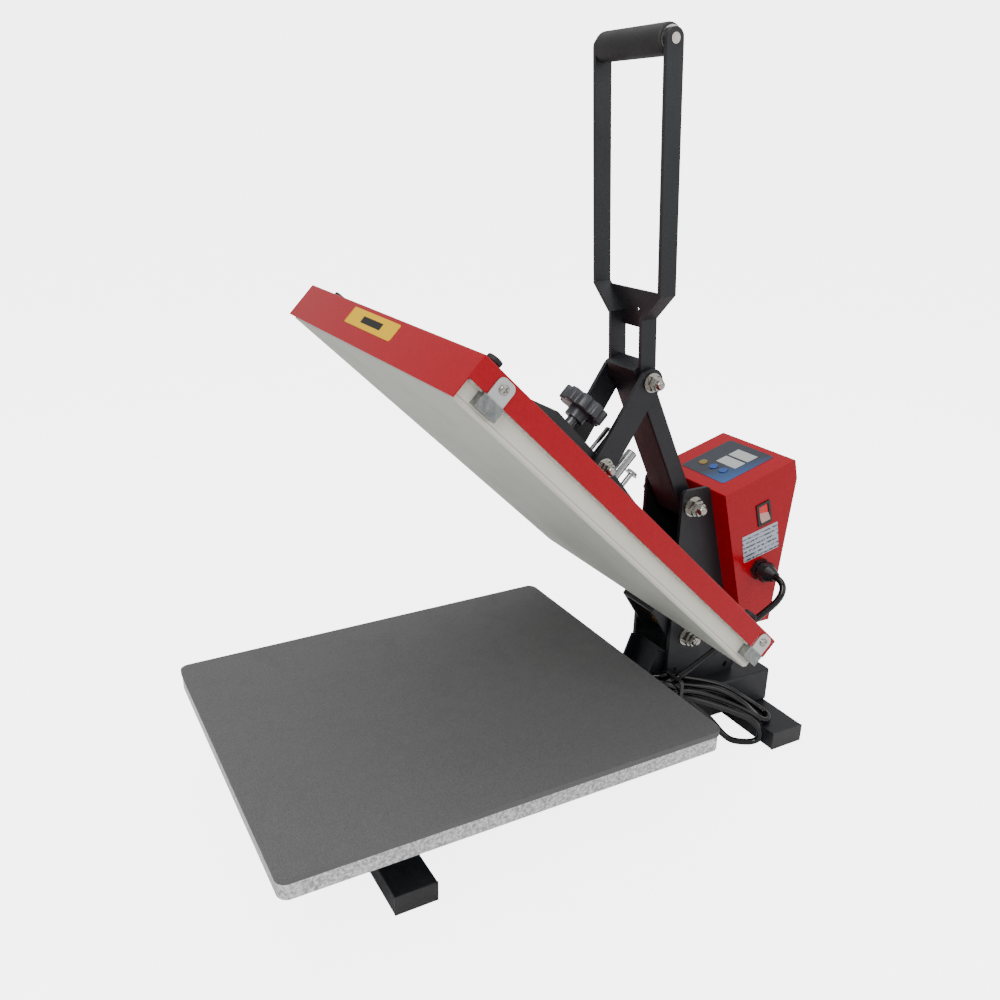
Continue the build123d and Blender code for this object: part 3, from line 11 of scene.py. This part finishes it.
import bpy
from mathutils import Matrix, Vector


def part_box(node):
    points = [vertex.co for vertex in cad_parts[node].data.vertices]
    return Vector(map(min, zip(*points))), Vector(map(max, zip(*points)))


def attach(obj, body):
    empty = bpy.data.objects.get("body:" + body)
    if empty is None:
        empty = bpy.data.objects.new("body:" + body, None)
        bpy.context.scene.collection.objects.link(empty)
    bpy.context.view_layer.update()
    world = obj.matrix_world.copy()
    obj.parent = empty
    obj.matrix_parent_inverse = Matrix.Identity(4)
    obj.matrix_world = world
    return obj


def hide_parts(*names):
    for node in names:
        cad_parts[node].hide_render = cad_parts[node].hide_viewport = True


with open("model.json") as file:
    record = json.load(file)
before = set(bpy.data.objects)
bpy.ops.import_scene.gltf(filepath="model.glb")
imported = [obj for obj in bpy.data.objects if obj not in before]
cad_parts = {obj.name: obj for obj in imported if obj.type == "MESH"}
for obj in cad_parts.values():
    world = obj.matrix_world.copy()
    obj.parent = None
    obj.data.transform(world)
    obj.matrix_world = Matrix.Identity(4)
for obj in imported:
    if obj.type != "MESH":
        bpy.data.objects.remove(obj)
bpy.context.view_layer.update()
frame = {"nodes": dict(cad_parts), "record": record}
record = frame["record"]

MM = 0.001
HEAD_TILT = math.radians(44)
PANEL_TILT = math.radians(15.5)
UP_HEAD = Vector((0, math.sin(HEAD_TILT), math.cos(HEAD_TILT)))
BACK_HEAD = Vector((0, math.cos(HEAD_TILT), -math.sin(HEAD_TILT)))


# %% [markdown]
# ## Shared patterns
# A node group is a small shader that many materials use. "Grain" gives a fine noise mask and the
# same noise as a height for a bump. "Marks" gives a broad, soft mask for rubbed and dusty areas.

# %% Make the shared node groups
def new_group(name, outputs):
    group = bpy.data.node_groups.new(name, "ShaderNodeTree")
    group.interface.new_socket("Vector", in_out="INPUT", socket_type="NodeSocketVector")
    group.interface.new_socket("Scale", in_out="INPUT", socket_type="NodeSocketFloat")
    for label in outputs:
        group.interface.new_socket(label, in_out="OUTPUT", socket_type="NodeSocketFloat")
    return group, group.nodes.new("NodeGroupInput"), group.nodes.new("NodeGroupOutput")


def grain_group():
    group, start, end = new_group("Grain", ("Mask", "Height"))
    noise = group.nodes.new("ShaderNodeTexNoise")
    noise.inputs["Detail"].default_value = 3.0
    noise.inputs["Roughness"].default_value = 0.6
    speck = group.nodes.new("ShaderNodeMapRange")
    speck.inputs["From Min"].default_value = 0.35
    speck.inputs["From Max"].default_value = 0.68
    group.links.new(start.outputs["Vector"], noise.inputs["Vector"])
    group.links.new(start.outputs["Scale"], noise.inputs["Scale"])
    group.links.new(noise.outputs["Fac"], speck.inputs["Value"])
    group.links.new(speck.outputs["Result"], end.inputs["Mask"])
    group.links.new(noise.outputs["Fac"], end.inputs["Height"])
    return group


def marks_group():
    group, start, end = new_group("Marks", ("Mask",))
    noise = group.nodes.new("ShaderNodeTexNoise")
    noise.inputs["Detail"].default_value = 6.0
    noise.inputs["Roughness"].default_value = 0.7
    noise.inputs["Distortion"].default_value = 0.6
    soft = group.nodes.new("ShaderNodeMapRange")
    soft.interpolation_type = "SMOOTHSTEP"
    soft.inputs["From Min"].default_value = 0.42
    soft.inputs["From Max"].default_value = 0.72
    group.links.new(start.outputs["Vector"], noise.inputs["Vector"])
    group.links.new(start.outputs["Scale"], noise.inputs["Scale"])
    group.links.new(noise.outputs["Fac"], soft.inputs["Value"])
    group.links.new(soft.outputs["Result"], end.inputs["Mask"])
    return group


GRAIN = grain_group()
MARKS = marks_group()
print("groups", [g.name for g in (GRAIN, MARKS)])


# %% [markdown]
# ## One recipe for every finish
# Each finish mixes two close colours with the fine grain, lets the broad marks change the
# roughness, and adds the grain as a small bump. Only the numbers differ from one to the next.

# %% Write the recipe
def link_group(nodes, links, tree, vector, scale):
    node = nodes.new("ShaderNodeGroup")
    node.node_tree = tree
    node.inputs["Scale"].default_value = scale
    links.new(vector, node.inputs["Vector"])
    return node


def ranged(nodes, links, value, low, high):
    node = nodes.new("ShaderNodeMapRange")
    node.inputs["To Min"].default_value = low
    node.inputs["To Max"].default_value = high
    links.new(value, node.inputs["Value"])
    return node.outputs["Result"]


def mixed(nodes, links, factor, first, second):
    node = nodes.new("ShaderNodeMix")
    node.data_type = "RGBA"
    links.new(factor, node.inputs["Factor"])
    for socket, colour in ((node.inputs[6], first), (node.inputs[7], second)):
        if isinstance(colour, bpy.types.NodeSocket):
            links.new(colour, socket)
        else:
            socket.default_value = (*colour, 1)
    return node.outputs[2]


def finish_of(name, first, second, rough, metal=0.0, scale=600.0, bump=0.05, coat=0.0, depth=0.0004,
              shine=0.5):
    material = bpy.data.materials.new(name)
    material.use_nodes = True
    nodes, links = material.node_tree.nodes, material.node_tree.links
    shader = nodes["Principled BSDF"]
    place = nodes.new("ShaderNodeTexCoord").outputs["Object"]
    grain = link_group(nodes, links, GRAIN, place, scale)
    marks = link_group(nodes, links, MARKS, place, 14.0)
    colour = mixed(nodes, links, grain.outputs["Mask"], first, second)
    links.new(colour, shader.inputs["Base Color"])
    links.new(ranged(nodes, links, marks.outputs["Mask"], *rough), shader.inputs["Roughness"])
    relief = nodes.new("ShaderNodeBump")
    relief.inputs["Strength"].default_value = bump
    relief.inputs["Distance"].default_value = depth
    links.new(grain.outputs["Height"], relief.inputs["Height"])
    links.new(relief.outputs["Normal"], shader.inputs["Normal"])
    shader.inputs["Metallic"].default_value = metal
    shader.inputs["Specular IOR Level"].default_value = shine
    shader.inputs["Coat Weight"].default_value = coat
    shader.inputs["Coat Roughness"].default_value = 0.06
    return material


# %% [markdown]
# ## The finishes
# Powder coat is dark with a fine speckle. The red coat is smooth and glossy. Zinc, chrome and
# aluminium are metals; foam, rubber and moulded plastics are rough.

# %% Mix the finishes
FINISHES = {
    "black_coat": finish_of("black coat", (0.003, 0.0035, 0.005), (0.014, 0.016, 0.021), (0.42, 0.56),
                            scale=900, bump=0.25),
    "red_coat": finish_of("red coat", (0.36, 0.0, 0.007), (0.4, 0.0, 0.009), (0.2, 0.3),
                          scale=300, bump=0.002, coat=0.06, shine=0.22),
    "bed_aluminium": finish_of("bed aluminium", (0.34, 0.35, 0.35), (0.92, 0.92, 0.91), (0.22, 0.4),
                               metal=1.0, scale=320, bump=0.9, depth=0.0008),
    "pad_silicone": finish_of("silicone foam", (0.08, 0.08, 0.082), (0.14, 0.14, 0.143), (0.75, 0.9),
                              scale=1400, bump=0.5),
    "cap_plastic": finish_of("cap plastic", (0.012, 0.012, 0.013), (0.03, 0.03, 0.032), (0.4, 0.55)),
    "zinc_steel": finish_of("zinc plate", (0.36, 0.35, 0.32), (0.48, 0.47, 0.44), (0.14, 0.26), metal=1.0,
                            scale=400, bump=0.0),
    "chrome_steel": finish_of("chrome", (0.42, 0.42, 0.43), (0.5, 0.5, 0.51), (0.06, 0.14), metal=1.0,
                              bump=0.0),
    "dark_steel": finish_of("dark steel", (0.06, 0.06, 0.065), (0.16, 0.16, 0.165), (0.3, 0.5), metal=1.0),
    "bronze": finish_of("bronze", (0.4, 0.24, 0.09), (0.55, 0.36, 0.15), (0.3, 0.5), metal=1.0),
    "heater_edge": finish_of("board edge", (0.45, 0.43, 0.37), (0.7, 0.68, 0.61), (0.75, 0.9),
                             scale=250, bump=0.5, depth=0.001),
    "galvanised": finish_of("galvanised", (0.2, 0.215, 0.215), (0.34, 0.355, 0.35), (0.26, 0.42), metal=1.0,
                            scale=160, bump=0.05),
    "rubber_black": finish_of("rubber", (0.008, 0.008, 0.009), (0.022, 0.022, 0.024), (0.55, 0.75),
                              scale=1500, bump=0.3),
    "knob_plastic": finish_of("knob plastic", (0.03, 0.033, 0.04), (0.05, 0.055, 0.065), (0.3, 0.42),
                              scale=900, bump=0.12),
    "board_green": finish_of("board green", (0.01, 0.08, 0.03), (0.02, 0.14, 0.05), (0.3, 0.5)),
    "key_gold": finish_of("key gold", (0.2, 0.13, 0.03), (0.27, 0.18, 0.05), (0.25, 0.35)),
    "key_blue": finish_of("key blue", (0.01, 0.06, 0.26), (0.015, 0.09, 0.34), (0.25, 0.35)),
    "relay_plastic": finish_of("relay plastic", (0.4, 0.4, 0.38), (0.5, 0.5, 0.48), (0.4, 0.6)),
    "switch_black": finish_of("switch plastic", (0.006, 0.006, 0.007), (0.015, 0.015, 0.016), (0.16, 0.3),
                              bump=0.02),
    "cord_black": finish_of("cord sheath", (0.0015, 0.0015, 0.002), (0.004, 0.004, 0.005), (0.1, 0.2),
                            scale=500, bump=0.04),
    "window_plastic": finish_of("window", (0.42, 0.45, 0.45), (0.5, 0.53, 0.53), (0.15, 0.25), coat=0.4,
                                bump=0.01),
}
print("finishes", len(FINISHES))


# %% [markdown]
# ## Finishes that change across a piece
# Some pieces have two colours. A straight measure along one direction, taken from the piece's own
# coordinates, says where one colour stops and the next starts.

# %% Colour by distance
def along(material, direction, start, end):
    """A value that goes from 0 to 1 between two distances along a direction."""
    nodes, links = material.node_tree.nodes, material.node_tree.links
    place = nodes.new("ShaderNodeTexCoord").outputs["Object"]
    dot = nodes.new("ShaderNodeVectorMath")
    dot.operation = "DOT_PRODUCT"
    dot.inputs[1].default_value = direction
    links.new(place, dot.inputs[0])
    span = nodes.new("ShaderNodeMapRange")
    span.inputs["From Min"].default_value = start
    span.inputs["From Max"].default_value = end
    links.new(dot.outputs["Value"], span.inputs["Value"])
    return span.outputs["Result"]


def split_colour(name, start_from, direction, start, end, far):
    """A copy of a finish that turns into another colour past a distance."""
    material = FINISHES[start_from].copy()
    material.name = name
    nodes, links = material.node_tree.nodes, material.node_tree.links
    shader = nodes["Principled BSDF"]
    near = shader.inputs["Base Color"].links[0].from_socket
    step = along(material, direction, start, end)
    links.new(mixed(nodes, links, step, near, far), shader.inputs["Base Color"])
    return material


def between(low, high, first, second):
    return low + (high - low) * first, low + (high - low) * second


def head_reach(node, direction):
    reach = [v.co.dot(direction) for v in frame["nodes"][node].data.vertices]
    return min(reach), max(reach)


def add_block(material, ink, ranges):
    """Paint a plain block where every direction is inside its range."""
    nodes, links = material.node_tree.nodes, material.node_tree.links
    shader = nodes["Principled BSDF"]
    under = shader.inputs["Base Color"].links[0].from_socket
    inside = None
    for direction, low, high in ranges:
        value = along(material, direction, low, high)
        centred = nodes.new("ShaderNodeMath")
        centred.operation = "COMPARE"
        centred.inputs[1].default_value = 0.5
        centred.inputs[2].default_value = 0.499
        links.new(value, centred.inputs[0])
        if inside is None:
            inside = centred.outputs[0]
        else:
            both = nodes.new("ShaderNodeMath")
            both.operation = "MULTIPLY"
            links.new(inside, both.inputs[0])
            links.new(centred.outputs[0], both.inputs[1])
            inside = both.outputs[0]
    links.new(mixed(nodes, links, inside, under, ink), shader.inputs["Base Color"])


plate_low = head_reach("heating_plate", UP_HEAD)[0]
FINISHES["heater_base"] = finish_of("heater base", (0.5, 0.51, 0.45), (0.58, 0.59, 0.53), (0.45, 0.6),
                                    scale=900, bump=0.15)
FINISHES["heater_coat"] = split_colour("heater coat", "heater_base", UP_HEAD, plate_low + 0.0004,
                                       plate_low + 0.0012, (0.72, 0.69, 0.6))
# Painted shadow: a soft dark line along the side of the head, about 5 mm above the plate's bottom, where
# the small step under the flange lies in shade.
step_shadow_material = FINISHES["heater_coat"]
step_shadow_tree = step_shadow_material.node_tree
step_shadow_span = along(step_shadow_material, UP_HEAD, plate_low + 0.0042, plate_low + 0.0062)
step_shadow_peak = step_shadow_tree.nodes.new("ShaderNodeMath")
step_shadow_peak.operation = "PINGPONG"
step_shadow_peak.inputs[1].default_value = 0.5
step_shadow_tree.links.new(step_shadow_span, step_shadow_peak.inputs[0])
step_shadow_shader = step_shadow_tree.nodes["Principled BSDF"]
step_shadow_under = step_shadow_shader.inputs["Base Color"].links[0].from_socket
# The dark brown of the painted shadow line in the step.
PAINTED_STEP_SHADOW = (0.16, 0.14, 0.11)
step_shadow_colour = mixed(step_shadow_tree.nodes, step_shadow_tree.links, step_shadow_peak.outputs[0], step_shadow_under, PAINTED_STEP_SHADOW)
step_shadow_tree.links.new(step_shadow_colour, step_shadow_shader.inputs["Base Color"])
rocker_low, rocker_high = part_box("power_rocker")
FINISHES["red_base"] = finish_of("rocker plastic", (0.55, 0.3, 0.28), (0.6, 0.34, 0.32), (0.15, 0.25),
                                 bump=0.02)
middle = (rocker_low.z + rocker_high.z) / 2
FINISHES["switch_red"] = split_colour("switch red", "red_base", (0, 0, 1), middle - 0.0004, middle + 0.0004,
                                      (0.75, 0.02, 0.02))
label_low, label_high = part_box("front_label")
FINISHES["orange"] = finish_of("label edge", (0.6, 0.12, 0.0), (0.65, 0.15, 0.01), (0.3, 0.4), bump=0.0,
                               shine=0.1)
FINISHES["label_yellow"] = split_colour("label yellow", "orange", (1, 0, 0), label_low.x + 0.002,
                                        label_low.x + 0.0022, (0.85, 0.5, 0.0))
add_block(FINISHES["label_yellow"], (0.02, 0.02, 0.02),
          [((1, 0, 0), *between(label_low.x, label_high.x, 0.3, 0.72)),
           (UP_HEAD, *between(*head_reach("front_label", UP_HEAD), 0.3, 0.7))])
FINISHES["film_base"] = finish_of("overlay film", (0.022, 0.027, 0.04), (0.03, 0.036, 0.052), (0.2, 0.3),
                                  bump=0.02)
film_low, film_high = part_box("panel_overlay")
FINISHES["overlay_film"] = split_colour("overlay film blue", "film_base", (0.9, -0.43, 0),
                                        0.9 * film_low.x - 0.43 * film_high.y + 0.062,
                                        0.9 * film_high.x - 0.43 * film_low.y, (0.02, 0.11, 0.34))
FINISHES["silver_base"] = finish_of("label silver", (0.42, 0.46, 0.54), (0.5, 0.54, 0.62), (0.3, 0.4),
                                    metal=0.3)


def printed_rows(name, start_from, row_direction, run_direction, ink, rows_per_m):
    """A copy of a finish with broken rows of plain marks, like blurred print."""
    material = FINISHES[start_from].copy()
    material.name = name
    nodes, links = material.node_tree.nodes, material.node_tree.links
    shader = nodes["Principled BSDF"]
    paper = shader.inputs["Base Color"].links[0].from_socket
    row = along(material, row_direction, 0, 1 / rows_per_m)
    row.node.clamp = False
    saw = nodes.new("ShaderNodeMath")
    saw.operation = "FRACT"
    links.new(row, saw.inputs[0])
    band = nodes.new("ShaderNodeMath")
    band.operation = "LESS_THAN"
    band.inputs[1].default_value = 0.42
    links.new(saw.outputs[0], band.inputs[0])
    dashes = nodes.new("ShaderNodeTexNoise")
    dashes.inputs["Scale"].default_value = 420
    links.new(nodes.new("ShaderNodeTexCoord").outputs["Object"], dashes.inputs["Vector"])
    broken = nodes.new("ShaderNodeMath")
    broken.operation = "GREATER_THAN"
    broken.inputs[1].default_value = 0.47
    links.new(dashes.outputs["Fac"], broken.inputs[0])
    both = nodes.new("ShaderNodeMath")
    both.operation = "MULTIPLY"
    links.new(band.outputs[0], both.inputs[0])
    links.new(broken.outputs[0], both.inputs[1])
    links.new(mixed(nodes, links, both.outputs[0], paper, ink), shader.inputs["Base Color"])
    return material


FINISHES["label_silver"] = printed_rows("label silver rows", "silver_base", (0, -0.21, 0.98), (0, 1, 0),
                                        (0.06, 0.07, 0.09), 170)
FINISHES["galvanised"] = split_colour("galvanised block", "galvanised", UP_HEAD, plate_low + 0.0195,
                                      plate_low + 0.0215, (0.62, 0.63, 0.62))
print("two-colour finishes ready")


# %% [markdown]
# ## Put a finish on every part of the frame
# The record says which slot each part takes its finish from.

# %% Paint the frame
for entry in record["subparts"]:
    node = frame["nodes"][entry["node"]]
    node.data.materials.clear()
    node.data.materials.append(FINISHES[entry["material_slot"]])
print("painted", len(record["subparts"]))


# %% [markdown]
# ## The mains cord
# The cord leaves the gland, hangs down to the beam and is folded to and fro into a tied hank. One
# curve with round section follows the whole length. Each pair of strands lies a little apart.

# %% Draw the cord
LEAD = [(92.2, 308.5, 228), (103, 308, 227), (110, 304.5, 218), (110, 297, 206), (104, 284, 191),
        (94, 264, 170), (82, 243, 147), (70, 224, 123), (61, 210, 105), (55, 200, 96)]
FRONT_ONE = [(52, 180, 92), (52, 150, 88), (52, 126, 88), (46, 112, 88), (33, 106, 88), (20, 112, 88),
             (14, 126, 88), (16, 150, 88), (30, 176, 92), (42, 192, 95)]
STRAND_A = [(45, 205, 94.5), (50, 222, 88), (55, 240, 83), (64, 262, 76), (73, 285, 63), (75, 305, 46),
            (77, 320, 34), (84, 328, 27.4), (94, 326, 27.4), (102, 318, 27.4), (102, 309, 30)]
STRAND_C = [(99, 300, 37), (91, 285, 47), (84, 265, 59), (78, 244, 70), (72, 222, 80), (66, 200, 86)]
FRONT_TWO = [(61, 180, 80), (52, 160, 79), (52, 130, 79), (46, 117, 79), (33, 111, 79), (20, 117, 79),
             (14, 130, 79), (16, 152, 79), (32, 176, 82), (52, 194, 86)]
STRAND_B = [(57, 206, 87), (65, 226, 84), (74, 250, 79), (84, 272, 66), (90, 288, 52), (91, 301, 38),
            (90, 311, 29), (85, 315, 27.4), (80, 311, 30)]
STRAND_D = [(78, 298, 40), (73, 280, 54), (67, 258, 64), (64, 236, 72), (59, 214, 77), (54, 197, 77)]
FRONT_THREE = [(46, 180, 76), (43, 160, 75), (42, 145, 75), (38, 134, 75), (30, 130, 75), (24, 136, 75),
               (24, 150, 75), (36, 176, 76), (62, 192, 77)]
STRAND_E = [(72, 208, 76), (82, 230, 68), (91, 252, 58), (99, 272, 48), (106, 288, 38), (110, 298, 24),
            (109, 300, 10), (105, 293, 4.2), (99, 281, 4.2), (91, 270, 5), (82, 263, 11), (76, 256, 22),
            (72, 243, 38), (69, 227, 54), (66, 212, 70), (63, 200, 86)]
TO_PLUG = [(58, 184, 95), (44, 166, 96), (34, 150, 96), (32, 128, 90), (32, 112, 82), (32, 106, 81.3)]
ROUTE = (LEAD + FRONT_ONE + STRAND_A + STRAND_C + FRONT_TWO + STRAND_B + STRAND_D + FRONT_THREE
         + STRAND_E + TO_PLUG)
CORD_DIAMETER = 0.008

line = bpy.data.curves.new("mains_cord", "CURVE")
line.dimensions = "3D"
line.bevel_depth = CORD_DIAMETER / 2
line.bevel_resolution = 5
line.resolution_u = 8
line.use_fill_caps = True
spline = line.splines.new("NURBS")
spline.points.add(len(ROUTE) - 1)
for point, (x, y, z) in zip(spline.points, ROUTE):
    point.co = (x * MM, y * MM, z * MM, 1)
spline.order_u = 3
spline.use_endpoint_u = True
mains_cord = bpy.data.objects.new("mains_cord", line)
bpy.context.collection.objects.link(mains_cord)
line.materials.append(FINISHES["cord_black"])
bpy.context.view_layer.update()
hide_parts("cord_tube", "cord_hank")
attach(mains_cord, "base")


# %% [markdown]
# ## The pressure knob
# A moulded knob with soft lobes. Its rim points are pushed in and out as a wave goes round.

# %% Model the knob
def select_only(piece):
    bpy.ops.object.select_all(action="DESELECT")
    piece.select_set(True)
    bpy.context.view_layer.objects.active = piece


def modifier_done(piece, name):
    select_only(piece)
    bpy.ops.object.modifier_apply(modifier=name)


def at_head(node):
    """The middle of a node, measured along the tilted head instead of the upright axes."""
    return (BACK_HEAD * sum(head_reach(node, BACK_HEAD)) + UP_HEAD * sum(head_reach(node, UP_HEAD))) / 2


knob_low, knob_high = head_reach("pressure_knob", UP_HEAD)
knob_middle = at_head("pressure_knob")
knob_radius = (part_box("pressure_knob")[1].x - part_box("pressure_knob")[0].x) / 2 - 0.0003
knob_height = knob_high - knob_low
LOBES = 9
DISC_SHARE = 0.62
HUB_SHARE = 0.42
disc_height = knob_height * DISC_SHARE
bpy.ops.mesh.primitive_cylinder_add(vertices=144, radius=knob_radius, depth=disc_height)
knob = bpy.context.object
knob.name = "lobed_knob"
bpy.ops.transform.translate(value=(0, 0, (knob_height - disc_height) / 2))
bpy.ops.object.transform_apply(location=True, rotation=True, scale=True)


def press_in(piece, wave_above, amount):
    """Draw the rim in where the nine notches are, by the same share all round."""
    select_only(piece)
    bpy.ops.object.mode_set(mode="EDIT")
    bpy.ops.mesh.select_mode(type="VERT")
    bpy.ops.mesh.select_all(action="DESELECT")
    bpy.ops.object.mode_set(mode="OBJECT")
    for vertex in piece.data.vertices:
        vertex.select = -math.cos(LOBES * math.atan2(vertex.co.y, vertex.co.x)) > wave_above
    bpy.ops.object.mode_set(mode="EDIT")
    bpy.ops.transform.resize(value=(amount, amount, 1), center_override=(0, 0, 0))
    bpy.ops.object.mode_set(mode="OBJECT")


for wave_above, amount in ((-0.1, 0.97), (0.3, 0.95), (0.65, 0.95), (0.9, 0.97)):
    press_in(knob, wave_above, amount)
print("lobes", LOBES, "disc", round(disc_height, 4))

# %% Round the knob and add its hub
soften = knob.modifiers.new("Soft rims", "BEVEL")
soften.width = 0.0014
soften.segments = 3
soften.limit_method = "ANGLE"
soften.angle_limit = math.radians(70)
modifier_done(knob, "Soft rims")
bpy.ops.object.shade_smooth_by_angle(angle=math.radians(40))
hub_height = knob_height - disc_height + 0.002
bpy.ops.mesh.primitive_cylinder_add(vertices=48, radius=knob_radius * HUB_SHARE, depth=hub_height,
                                    location=(0, 0, -knob_height / 2 + hub_height / 2))
hub = bpy.context.object
bpy.ops.object.transform_apply(location=True, rotation=True, scale=True)
bpy.ops.object.shade_smooth_by_angle(angle=math.radians(40))
select_only(hub)
knob.select_set(True)
bpy.context.view_layer.objects.active = knob
bpy.ops.object.join()
knob.rotation_euler = (-HEAD_TILT, 0, 0)
knob.location = knob_middle
select_only(knob)
bpy.ops.object.transform_apply(location=True, rotation=True, scale=True)
knob.data.materials.append(FINISHES["knob_plastic"])
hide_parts("pressure_knob")
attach(knob, "knob")
print("knob", [round(v, 4) for v in knob.dimensions])


# %% [markdown]
# ## The insulation blanket
# The pale blanket round the heated plate fills the space up to the cover, so no dark gap shows.

# %% Model the blanket
board_front, board_back = head_reach("insulation_board", BACK_HEAD)
board_top = head_reach("insulation_board", UP_HEAD)[1]
board_low = head_reach("heating_plate", UP_HEAD)[1] + 0.0001
board_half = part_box("insulation_board")[1].x
bpy.ops.mesh.primitive_cube_add(size=1)
blanket = bpy.context.object
blanket.name = "insulation_blanket"
blanket.dimensions = (2 * board_half, board_back - board_front, board_top - board_low)
select_only(blanket)
bpy.ops.object.transform_apply(scale=True)
soften = blanket.modifiers.new("Soft edges", "BEVEL")
soften.width = 0.0006
soften.segments = 3
modifier_done(blanket, "Soft edges")
blanket.rotation_euler = (-HEAD_TILT, 0, 0)
blanket.location = (BACK_HEAD * (board_front + board_back) + UP_HEAD * (board_low + board_top)) / 2
select_only(blanket)
bpy.ops.object.transform_apply(location=True, rotation=True, scale=True)
blanket.data.materials.append(FINISHES["heater_edge"])
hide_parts("insulation_board")
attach(blanket, "heating_head")
print("blanket", [round(v, 4) for v in blanket.dimensions])


# %% [markdown]
# ## The foam grip
# A tube of foam round the cross rod, with rounded ends.

# %% Model the grip
grip_low, grip_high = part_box("handle_grip")
bpy.ops.mesh.primitive_cylinder_add(vertices=64, radius=(grip_high.z - grip_low.z) / 2 - 0.0002,
                                    depth=grip_high.x - grip_low.x - 0.0004,
                                    location=(grip_low + grip_high) / 2, rotation=(0, math.pi / 2, 0))
grip = bpy.context.object
grip.name = "foam_grip"
bpy.ops.object.transform_apply(location=True, rotation=True, scale=True)
soften = grip.modifiers.new("Soft ends", "BEVEL")
soften.width = 0.0035
soften.segments = 5
soften.limit_method = "ANGLE"
modifier_done(grip, "Soft ends")
bpy.ops.object.shade_smooth_by_angle(angle=math.radians(40))
grip.data.materials.append(FINISHES["rubber_black"])
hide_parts("handle_grip")
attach(grip, "lever")
print("grip", [round(v, 4) for v in grip.dimensions])



# %% [markdown]
# ## Floor, lights and camera
# A pale floor and three soft lamps make an even studio picture.

# %% Light the stage
bpy.ops.mesh.primitive_plane_add(size=12, location=(0, 0, -0.0005))
floor = bpy.context.object
floor.name = "floor"
floor.data.materials.append(finish_of("pale floor", (0.86, 0.86, 0.86), (0.9, 0.9, 0.9), (0.7, 0.8),
                                      scale=8, bump=0.0))
shine = floor.data.materials[0].node_tree
glow = shine.nodes["Principled BSDF"]
glow.inputs["Emission Color"].default_value = (1, 1, 1, 1)
direct = shine.nodes.new("ShaderNodeLightPath")
amount = shine.nodes.new("ShaderNodeMapRange")
amount.inputs["To Min"].default_value = 0.0
amount.inputs["To Max"].default_value = 4.5
shine.links.new(direct.outputs["Is Camera Ray"], amount.inputs["Value"])
shine.links.new(amount.outputs["Result"], glow.inputs["Emission Strength"])


def lamp(name, place, power, size, target=(0, 0, 0.35)):
    light = bpy.data.lights.new(name, "AREA")
    light.energy = power
    light.size = size
    holder = bpy.data.objects.new(name, light)
    holder.location = place
    aim = Vector(target) - Vector(place)
    holder.rotation_euler = aim.to_track_quat("-Z", "Y").to_euler()
    bpy.context.collection.objects.link(holder)
    return holder


lamps = [lamp("key", (1.4, -1.4, 2.2), 34, 1.2), lamp("fill", (2.2, 1.2, 1.4), 14, 1.8),
         lamp("top", (-0.4, 0.2, 2.6), 30, 2.2)]
world = bpy.data.worlds.new("studio")
bpy.context.scene.world = world
world.use_nodes = True
world.node_tree.nodes["Background"].inputs["Color"].default_value = (1, 1, 1, 1)
sky_nodes, sky_links = world.node_tree.nodes, world.node_tree.links
seen = sky_nodes.new("ShaderNodeLightPath")
level = sky_nodes.new("ShaderNodeMapRange")
level.inputs["To Min"].default_value = 0.62
level.inputs["To Max"].default_value = 5.0
sky_links.new(seen.outputs["Is Camera Ray"], level.inputs["Value"])
sky_links.new(level.outputs["Result"], sky_nodes["Background"].inputs["Strength"])
camera_data = bpy.data.cameras.new("camera")
camera_data.lens = 34.198
camera_data.sensor_width = 36
camera_data.shift_x = 0.0482
camera_data.shift_y = 0.0033
camera = bpy.data.objects.new("camera", camera_data)
camera.location = (0.84413, -0.51097, 0.72916)
camera.rotation_euler = (math.radians(68.74), 0, math.radians(63.22))
bpy.context.collection.objects.link(camera)
bpy.context.scene.camera = camera
print("lamps", len(lamps))
